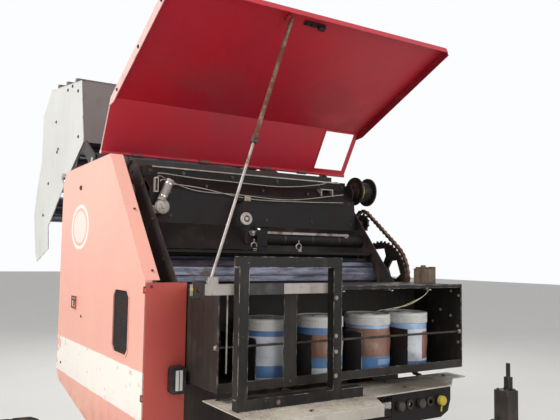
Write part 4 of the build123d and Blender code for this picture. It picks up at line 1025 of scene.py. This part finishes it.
# A light strip on the box's left end as a painted highlight
Piece("box_edge_highlight", dull_steel).slab(at(box_low.x + 0.032, -0.2838, 1.262),
                                          at(box_low.x + 0.038, -0.2802, 1.560), 0.001).done()
bolts("box_bolts", "frame", dark_bolt, [at(-0.241, -0.284, z) for z in (1.21, 1.56)], FRONT, 0.006, 0.004)

PACKS = (-0.250, 0.016, 0.290, 0.524)
box_eyes = Piece("box_eyes", bright_steel)
for x in PACKS:
    box_eyes.ring(at(x + 0.02, -0.262, 1.558), UP, wire_line(0.003, 0.009), 20)
    box_eyes.slab(at(x + 0.014, -0.252, 1.5555), at(x + 0.026, -0.230, 1.576), 0.001)
box_eyes.done()
pack_rod = (-0.270, 1.357)
rod_nuts = Piece("rod_nuts", bolt_steel)
for x, way in ((box_high.x - 0.004, RIGHT), (box_low.x, RIGHT), (box_high.x, LEFT)):
    rod_nuts.bolt(at(x, *pack_rod), way, 0.009, 0.010)
rod_nuts.done()

# Twine packs: wrapped bodies with plain bands, lids with a rolled rim, and the strands drawn from one
PACK_FLOOR = 1.1943
PACK_MIDDLE = -0.120
BLUE = (92, 132, 180)
PALE_BLUE = (150, 178, 214)
PAPER = (214, 216, 222)
ORANGE = (142, 102, 84)
# Of each pack: its bands as (low, high, colour), then its block's low, high, right end and colour
NO_BLOCK = 9.0
pack_designs = {
    "first": ([(1.20, 1.215, PAPER), (1.215, 1.262, BLUE), (1.262, 1.378, PAPER), (1.378, 1.43, BLUE)],
              1.27, 1.36, NO_BLOCK, PAPER),
    "second": ([(1.20, 1.232, PAPER), (1.232, 1.275, BLUE), (1.275, 1.372, ORANGE), (1.372, 1.43, BLUE)],
               1.28, 1.35, 0.06, PAPER),
    "third": ([(1.20, 1.262, BLUE), (1.262, 1.385, ORANGE), (1.385, 1.43, PALE_BLUE)],
              1.225, 1.25, 0.27, PALE_BLUE),
    "fourth": ([(1.20, 1.225, BLUE), (1.225, 1.372, PAPER), (1.372, 1.43, PALE_BLUE)],
               1.235, 1.36, 0.535, ORANGE),
}


def pack_ring(x, step, steps, index):
    # A soft barrel, drawn in at both ends, with three shallow creases that wander with the height
    share = step / steps
    radius = 0.100 + 0.006 * math.sin(math.pi * share) - (0.010 if step in (0, steps) else 0)
    z = PACK_FLOOR + 0.001 + 0.232 * share
    ring = []
    for t in turns(48):
        reach = radius + 0.0016 * math.sin(3 * t + step * 0.7 + index)
        ring.append(at(x + math.cos(t) * reach, PACK_MIDDLE + math.sin(t) * reach, z))
    return ring


for index, (x, (order, design)) in enumerate(zip(PACKS, pack_designs.items())):
    pack = Piece("twine_pack_" + order, pack_label("pack_label_" + order, *design))
    made = pack.skin([pack_ring(x, step, 20, index) for step in range(21)]).done()
    if index == 0:
        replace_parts(made, "twine_packs")
lid_line = [(0.0, 0.1035), (0.001, 0.1065), (0.004, 0.1068), (0.006, 0.1050), (0.030, 0.1050),
            (0.033, 0.1068), (0.043, 0.1066), (0.047, 0.1035), (0.049, 0.098), (0.045, 0.092), (0.044, 0.030),
            (0.048, 0.026), (0.048, 0.012)]
lids = Piece("pack_lids", clear_lid)
lid_ribs = Piece("lid_ribs", clear_lid)
for x in PACKS:
    lids.turned(at(x, PACK_MIDDLE, PACK_FLOOR + 0.205), UP, lid_line, 48)
    for t in turns(60):
        foot = at(x + 0.1050 * math.cos(t), PACK_MIDDLE + 0.1050 * math.sin(t), PACK_FLOOR + 0.212)
        lid_ribs.rod(foot, foot + UP * 0.020, 0.0012, 5)
lids.done()
lid_ribs.done()
strands = Piece("twine_strands", twine_fibre)
for lean in (0.0, 0.012):
    strands.hose([at(0.290 + lean, -0.150, PACK_FLOOR + 0.252), at(0.300 + lean, -0.190, 1.462 + lean / 3),
                  at(0.345, -0.235, 1.476 - lean / 2), at(0.420, -0.262, 1.492 + lean / 2),
                  at(0.500, -0.268, 1.528), at(0.544, -0.262, 1.557)], 0.0014, 6, 8)
strands.done()

# Step frame and stay bar: bolts, welds, a dark strip as painted shadow on the bar, and the joint at the bar's
# end
POSTS = (-0.530, -0.110)
POST_FRONT = -0.420
POST_WIDTH = 0.040
post_places = ((-0.118, 1.543), (-0.118, 1.396), (-0.118, 1.335), (-0.118, 1.243), (-0.380, 1.170))
bolts("post_bolts", "frame", dull_steel, [at(x, POST_FRONT, z) for x, z in post_places], FRONT, 0.007, 0.004)
welds = Piece("post_welds", post_paint)
for x in POSTS:
    for edge in (-POST_WIDTH / 2, POST_WIDTH / 2):
        for z in (1.660, 1.190):
            start = at(x + edge, POST_FRONT + 0.001, z)
            welds.rod(start, start + BACK * (POST_WIDTH - 0.002), 0.0035, 8)
welds.done()
# A dark strip over the middle of the bar as painted shadow
Piece("bar_painted_shadow", black_plastic).slab(at(-0.505, -0.3808, 1.558), at(-0.335, -0.3712, 1.602), 0.001).done()
joint_block = Piece("bar_joint", dark_steel)
joint_block.slab(at(-0.712, -0.386, 1.548), at(-0.668, -0.366, 1.612), 0.003)
joint_block.bolt(at(-0.690, -0.386, 1.580), FRONT, 0.008, 0.007)
joint_block.done()
tip_line = [(0, 0.008), (0.004, 0.009), (0.007, 0.007)]
Piece("bar_joint_tip", yellow_plastic).turned(at(-0.7125, -0.376, 1.582), RIGHT, tip_line, 16).done()

# Platform: grip strips between its edges, a pale rod on the front edge as painted highlight, bolts, and the
# shield under the box
DECK = 1.150
grip = Piece("platform_grip", deck_paint)
for x in (-0.556 + k * 0.016 for k in range(34)):
    for front, rear in ((-0.568, -0.425), (-0.375, -0.290)):
        grip.slab(at(x - 0.002, front, DECK - 0.0002), at(x + 0.002, rear, DECK + 0.003), 0.0012)
grip.done()
edge_line = [(-0.571, -0.580), (-0.010, -0.580), (0.060, -0.445), (0.512, -0.428), (0.650, -0.310),
             (0.741, -0.300)]
edge_points = [at(x, y + 0.002, DECK - 0.0015) for x, y in edge_line]
# A pale rod along the front edge, as painted sunlight on the edge
Piece("platform_edge_highlight", cream_paint).rods(edge_points, 0.0026).done()
deck_places = ((-0.30, -0.24), (0.30, -0.24), (-0.30, -0.52), (0.30, -0.36), (-0.52, -0.21), (0.66, -0.24))
bolts("platform_bolts", "frame", dark_bolt, [at(x, y, DECK) for x, y in deck_places], UP, 0.008, 0.005)

front_shield = Piece("front_shield", plate_paint)
front_shield.slab(at(-0.565, 0.0040, 0.905), at(0.598, 0.0070, 1.186), 0.001)
for z in (0.915, 1.176):
    for right, left in ((-0.565, -0.115), (0.115, 0.598)):
        front_shield.slab(at(right, -0.0050, z - 0.002), at(left, 0.0045, z + 0.002), 0.001)
front_shield.done()

# Couplings parked in the hose holder: black caps on the first and the third, a yellow cap on the last
couplings = Piece("couplings", dark_steel)
coupling_caps = Piece("coupling_caps", yellow_plastic)
black_caps = Piece("black_caps", black_plastic)
coupling_line = [(0.0, 0.0100), (0.0, 0.0210), (0.012, 0.0210), (0.014, 0.0185), (0.014, 0.0100)]
yellow_cap_line = [(0, 0.0180), (0.002, 0.0205), (0.016, 0.0205), (0.020, 0.0175), (0.021, 0.0060)]
black_cap_line = [(0, 0.0175), (0.002, 0.0195), (0.012, 0.0195), (0.015, 0.0165), (0.016, 0.0060)]
cap_start = 0.0102
coupling_places = [at(0.210 + 0.058 * k, -0.420, 1.094) for k in range(5)]
for place in coupling_places:
    couplings.ring(place + BACK * 0.0035, FRONT, coupling_line, 24)
for place in coupling_places[0:4:2]:
    black_caps.turned(place + FRONT * cap_start, FRONT, black_cap_line, 24)
last = coupling_places[-1]
coupling_caps.turned(last + FRONT * cap_start, FRONT, yellow_cap_line, 24)
coupling_caps.rod(last + FRONT * 0.018 + DOWN * 0.018, last + FRONT * 0.014 + DOWN * 0.046, 0.0035, 8)
couplings.done()
coupling_caps.done()
black_caps.done()

# Gearbox: cover bolts, side boss and ribs
gear_low, gear_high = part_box("gearbox")
gear_middle = (gear_low + gear_high) / 2
gear_bolts = Piece("gearbox_bolts", dark_bolt)
corner_inset = 0.020
for x in (gear_low.x + corner_inset, gear_middle.x, gear_high.x - corner_inset):
    for y in (gear_low.y + corner_inset, gear_high.y - corner_inset):
        gear_bolts.bolt(Vector((x, y, gear_high.z)), UP, 0.008, 0.008)
flange_ring = 0.075
for t in (math.pi * k / 3 + 0.3 for k in range(6)):
    gear_bolts.bolt(Vector((gear_middle.x + flange_ring * math.cos(t), gear_low.y,
                            gear_middle.z + flange_ring * math.sin(t))), FRONT, 0.008, 0.008)
gear_bolts.turned(Vector((gear_low.x, gear_middle.y, gear_middle.z)), RIGHT,
                  [(0, 0.052), (0.004, 0.052), (0.008, 0.046), (0.010, 0.020)])
gear_bolts.done()
gear_ribs = Piece("gearbox_ribs", housing_paint)
rib_right, rib_left = gear_low.x - 0.007, gear_low.x + 0.001
rib_ends = ((gear_low.z + 0.014, gear_middle.z - 0.054), (gear_middle.z + 0.056, gear_high.z - 0.014))
for y in (gear_low.y + 0.060, gear_middle.y, gear_high.y - 0.060):
    for low, high in rib_ends:
        gear_ribs.slab(Vector((rib_right, y - 0.005, low)), Vector((rib_left, y + 0.005, high)))
gear_ribs.done()

# Drive shaft: bells at both ends of its guard, and the guard's ribs
SHAFT_HEIGHT = 1.020
bell_line = [(-0.03, 0.0421), (0.030, 0.060), (0.052, 0.066), (0.054, 0.063), (0.030, 0.055), (0.004, 0.0421)]
shaft_bells = Piece("shaft_bells", black_plastic)
for y, way in ((-1.372, FRONT), (-0.302, BACK)):
    shaft_bells.ring(at(0, y, SHAFT_HEIGHT), way, bell_line, 36)
shaft_bells.done()
shaft_ribs = Piece("shaft_guard_ribs", black_plastic)
for k in range(17):
    shaft_ribs.ring(at(0, -1.30 + k * 0.058, SHAFT_HEIGHT), BACK,
                    [(0, 0.0415), (0.001, 0.0435), (0.004, 0.0435), (0.005, 0.0415)], 32)
shaft_ribs.done()

# Oiler: its lid and filler cap
oiler_low, oiler_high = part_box("oiler")
lid_top = oiler_high.z - 0.002
oiler_lid = Piece("oiler_lid", housing_paint)
oiler_lid.slab(Vector((oiler_low.x + 0.005, oiler_low.y + 0.024, lid_top - 0.010)),
               Vector((oiler_high.x - 0.005, oiler_high.y - 0.005, lid_top)), 0.003)
oiler_lid.turned(Vector((oiler_low.x + 0.036, oiler_high.y - 0.030, lid_top)), UP,
                 [(0, 0.013), (0.006, 0.013), (0.009, 0.010)], 20)
oiler_lid.done()

# Drawbar, hitch and jack
drawbar_places = [at(x, -1.614, 0.7345) for x in (-0.04, 0.04)] + [at(x, 0.0, 0.888) for x in (-0.045, 0.045)]
bolts("drawbar_bolts", "frame", dark_bolt, drawbar_places, UP, 0.012, 0.010)
jack_x, jack_y, jack_half = 0.154, -1.000, 0.027
jack_trim = Piece("jack_trim", dark_bolt)
for x in (jack_x - 0.018, jack_x + 0.018):
    for y in (jack_y - 0.018, jack_y + 0.018):
        jack_trim.bolt(at(x, y, 1.268), UP, 0.005, 0.005)
for z in (0.79, 0.70):
    jack_trim.bolt(at(jack_x, jack_y - jack_half, z), FRONT, 0.011, 0.010)
jack_trim.done()
hitch_low, hitch_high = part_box("hitch_ring")
hitch_centre = at(0, -1.730, 0)
lining_line = [(0, 0.026), (0, 0.036), (0.0015, 0.034), (0.0015, 0.028)]
hitch_lining = Piece("hitch_lining", bright_steel)
for face, way in ((hitch_high.z, UP), (hitch_low.z, DOWN)):
    hitch_lining.ring(hitch_centre + UP * face, way, lining_line, 36)
hitch_lining.done()

# Lift cylinders: glands and hose ports
RAM_X = 0.672
RAM_BASE = (0.996, 1.060)
ram_shut = math.dist(RAM_BASE, GATE_EYE)
gland_line = [(-0.030, 0.0302), (-0.030, 0.0335), (-0.002, 0.0335), (0.001, 0.030), (0.001, 0.0168),
              (-0.001, 0.0168), (-0.001, 0.0290)]
for side, name in SIDES:
    ram_foot = at(side * RAM_X, *RAM_BASE)
    ram_way = (gate_at(side * RAM_X, *GATE_EYE) - ram_foot).normalized()
    barrel = "ram_barrel_" + name
    gland_place = ram_foot + ram_way * (ram_shut - 0.061)
    Piece("ram_gland_" + name, bright_steel, barrel).ring(gland_place, ram_way, gland_line, 32).done()
    port_way = ram_way.cross(LEFT).normalized()
    port_foot = ram_foot + ram_way * 0.070 + port_way * 0.029
    port_tip = port_foot + port_way * 0.014
    Piece("ram_port_" + name, dark_steel, barrel).rod(port_foot, port_tip, 0.010, 6, chamfer=0.001).done()

# Left side drive: bolts of its wheels and the heads of the chains' pins
OUTER_CHAIN = 0.716
INNER_CHAIN = 0.666
GEAR_SHAFT = (-0.120, SHAFT_HEIGHT)
NET_SHAFT = (0.430, 1.900)
sprocket_bolts = Piece("sprocket_bolts", bolt_steel)
# Of each wheel: its shaft, the ring of its bolts, their count and the chain that runs on it
for shaft, reach, count, chain in ((ring_place(161), 0.052, 6, OUTER_CHAIN),
                                   (ring_place(199), 0.045, 5, INNER_CHAIN),
                                   (GEAR_SHAFT, 0.040, 4, INNER_CHAIN), (NET_SHAFT, 0.028, 3, OUTER_CHAIN)):
    for t in turns(count):
        place = at(chain + 0.006, *shaft) + (BACK * math.cos(t) + UP * math.sin(t)) * reach
        sprocket_bolts.bolt(place, LEFT, 0.006, 0.006)
sprocket_bolts.done()


def chain_places(first, second, reach):
    # Pins of a chain round two wheels, evenly spaced along its closed way
    (first_y, first_z, first_radius), (second_y, second_z, second_radius) = first, second
    length = math.dist(first[:2], second[:2])
    towards = math.atan2(second_z - first_z, second_y - first_y)
    lean = math.acos((first_radius - second_radius) / length)
    straight = math.sqrt(length ** 2 - (first_radius - second_radius) ** 2)
    big = (2 * math.pi - 2 * lean) * (first_radius + reach)
    small = 2 * lean * (second_radius + reach)
    whole = big + small + 2 * straight
    count = round(whole / CHAIN_PITCH)
    for k in range(count):
        run = whole * k / count
        if run < big:
            wheel, turn, along = first, towards + lean + run / (first_radius + reach), 0
        elif run < big + straight:
            wheel, turn, along = first, towards - lean, run - big
        elif run < big + straight + small:
            wheel, along = second, 0
            turn = towards - lean + (run - big - straight) / (second_radius + reach)
        else:
            wheel, turn, along = second, towards + lean, run - big - straight - small
        normal = Vector((0, math.cos(turn), math.sin(turn)))
        tangent = Vector((0, -math.sin(turn), math.cos(turn)))
        yield k, at(0, *wheel[:2]) + normal * (wheel[2] + reach) + tangent * along


CHAIN_PITCH = 0.03175
chain_half = 0.0081
chain_links = Piece("chain_links", chain_steel)
for first, second, middle in (((*ring_place(161), 0.200), (*NET_SHAFT, 0.058), OUTER_CHAIN),
                              ((*ring_place(199), 0.100), (*GEAR_SHAFT, 0.070), INNER_CHAIN)):
    for k, place in chain_places(first, second, 0.0113):
        head = 0.0028 if k % 2 == 0 else 0.0016
        for side in (-1, 1):
            spot = place + LEFT * (middle + side * chain_half)
            chain_links.rod(spot, spot + LEFT * side * head, 0.0046, 10)
chain_links.done()

# Wheels: tyres with lugs, rim flanges, nuts and hub caps
WHEEL_X = 1.005
AXLE = (1.120, 0.422)
# Half a tyre's profile: along the axle, radius
tyre_half = [(-0.112, 0.1966), (-0.116, 0.215), (-0.132, 0.245), (-0.1425, 0.300), (-0.1405, 0.345),
             (-0.132, 0.378), (-0.118, 0.396), (-0.095, 0.405), (-0.045, 0.4085)]
tyre_line = tyre_half + [(0.0, 0.4095)] + [(-along, radius) for along, radius in reversed(tyre_half)]
flange_line = [(-0.004, 0.1935), (0.0, 0.1955), (0.004, 0.206), (0.0085, 0.2085), (0.0095, 0.205),
               (0.0045, 0.1935)]
well_line = [(0, 0.140), (0, 0.1885), (0.006, 0.184), (0.012, 0.165), (0.008, 0.148)]
nut_line = [(0, 0.0105), (0.003, 0.0095), (0.003, 0.0062), (0.012, 0.0060), (0.013, 0.005)]
cap_line = [(0, 0.058), (0.004, 0.058), (0.010, 0.050), (0.026, 0.047), (0.032, 0.040), (0.034, 0.012)]
LUGS = 30
TREAD = 0.4212
# Across half the tread: share of the way, drop at the shoulder
lug_stations = ((0.0, 0.0), (0.35, 0.0), (0.7, 0.0), (1.0, 0.013))


def lug_rings(centre, way, base):
    # One lug, from the tyre's middle to its shoulder, leaning back as it goes out
    rings = []
    for share, drop in lug_stations:
        wide = 0.020 + 0.010 * share
        ring = []
        for lift, half in ((0.400, wide * 0.62), (TREAD, wide * 0.45), (TREAD, -wide * 0.45),
                           (0.400, -wide * 0.62)):
            angle = base + 0.135 * share + half / 0.42
            out = Vector((0, math.cos(angle), math.sin(angle)))
            ring.append(centre + LEFT * way * (0.006 + 0.117 * share) + out * (lift - drop))
        rings.append(ring)
    return rings


for side, name in SIDES:
    body = "wheel_" + name
    centre = at(side * WHEEL_X, *AXLE)
    tyre = Piece("tyre_carcass_" + name, tyre_rubber, body)
    tyre.ring(centre, LEFT, tyre_line, 96)
    for reach, radius in ((0.128, 0.262), (0.1385, 0.352)):
        for way in (-1, 1):
            tyre.ring(centre + LEFT * way * reach, LEFT * way,
                      [(-0.004, radius - 0.003), (0.0018, radius - 0.0015), (0.0018, radius + 0.0015),
                       (-0.004, radius + 0.003)], 96)
    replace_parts(tyre.done(40), "tyre_" + name)
    lugs = Piece("tyre_lugs_" + name, tyre_rubber, body)
    for k in range(LUGS):
        for way, step in ((-1, 0), (1, 0.5)):
            lugs.skin(lug_rings(centre, way, 2 * math.pi * (k + step) / LUGS))
    lugs.done(25)
    flange = Piece("rim_flange_" + name, rim_paint, body)
    for way in (-1, 1):
        flange.ring(centre + LEFT * way * 0.1148, LEFT * way, flange_line, 64)
    flange.ring(centre + LEFT * side * 0.012, LEFT * side, well_line, 64)
    flange.done(40)
    nuts = Piece("wheel_nuts_" + name, bolt_steel, body)
    for t in turns(6):
        spot = centre + LEFT * side * 0.0302 + Vector((0, 0.1025 * math.cos(t), 0.1025 * math.sin(t)))
        nuts.turned(spot, LEFT * side, nut_line, 14)
    nuts.turned(centre + LEFT * side * 0.0122, LEFT * side, cap_line)
    nuts.done()

# Pick-up: coils at the tines' feet, tyres and discs of the gauge wheels
REEL = (-0.120, 0.460)
REEL_HALF = 0.710
TINES = 16
tine_pitch = 2 * (REEL_HALF - 0.030) / TINES
coil_line = [(-0.012, 0.0085), (-0.012, 0.0125), (0.012, 0.0125), (0.012, 0.0085)]
tine_coils = Piece("tine_coils", rusty_steel, "reel")
for turn in (math.radians(90 * bar + 20) for bar in range(4)):
    out = Vector((0, -math.sin(turn), math.cos(turn))) * 0.123
    for k in range(TINES):
        x = -REEL_HALF + 0.030 + tine_pitch * (k + 0.5)
        tine_coils.ring(at(x, *REEL) + out, LEFT, coil_line, 12)
tine_coils.done()

gauge_line = [(-0.030, 0.082), (-0.037, 0.090), (-0.0395, 0.115), (-0.034, 0.131), (-0.020, 0.138),
              (0.020, 0.138), (0.034, 0.131), (0.0395, 0.115), (0.037, 0.090), (0.030, 0.082)]
disc_line = [(-0.038, 0.0125), (-0.038, 0.030), (-0.006, 0.034), (-0.006, 0.078), (-0.031, 0.080),
             (-0.031, 0.0835), (0.031, 0.0835), (0.031, 0.080), (0.006, 0.078), (0.006, 0.034),
             (0.038, 0.030), (0.038, 0.0125)]
for side, name in SIDES:
    body = "gauge_wheel_" + name
    centre = at(side * 0.790, 0.040, 0.300)
    gauge = Piece("gauge_tyre_" + name, tyre_rubber, body).ring(centre, LEFT, gauge_line, 56)
    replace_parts(gauge.done(40), "gauge_wheel_" + name)
    Piece("gauge_disc_" + name, rim_paint, body).ring(centre, LEFT, disc_line, 40).done(35)
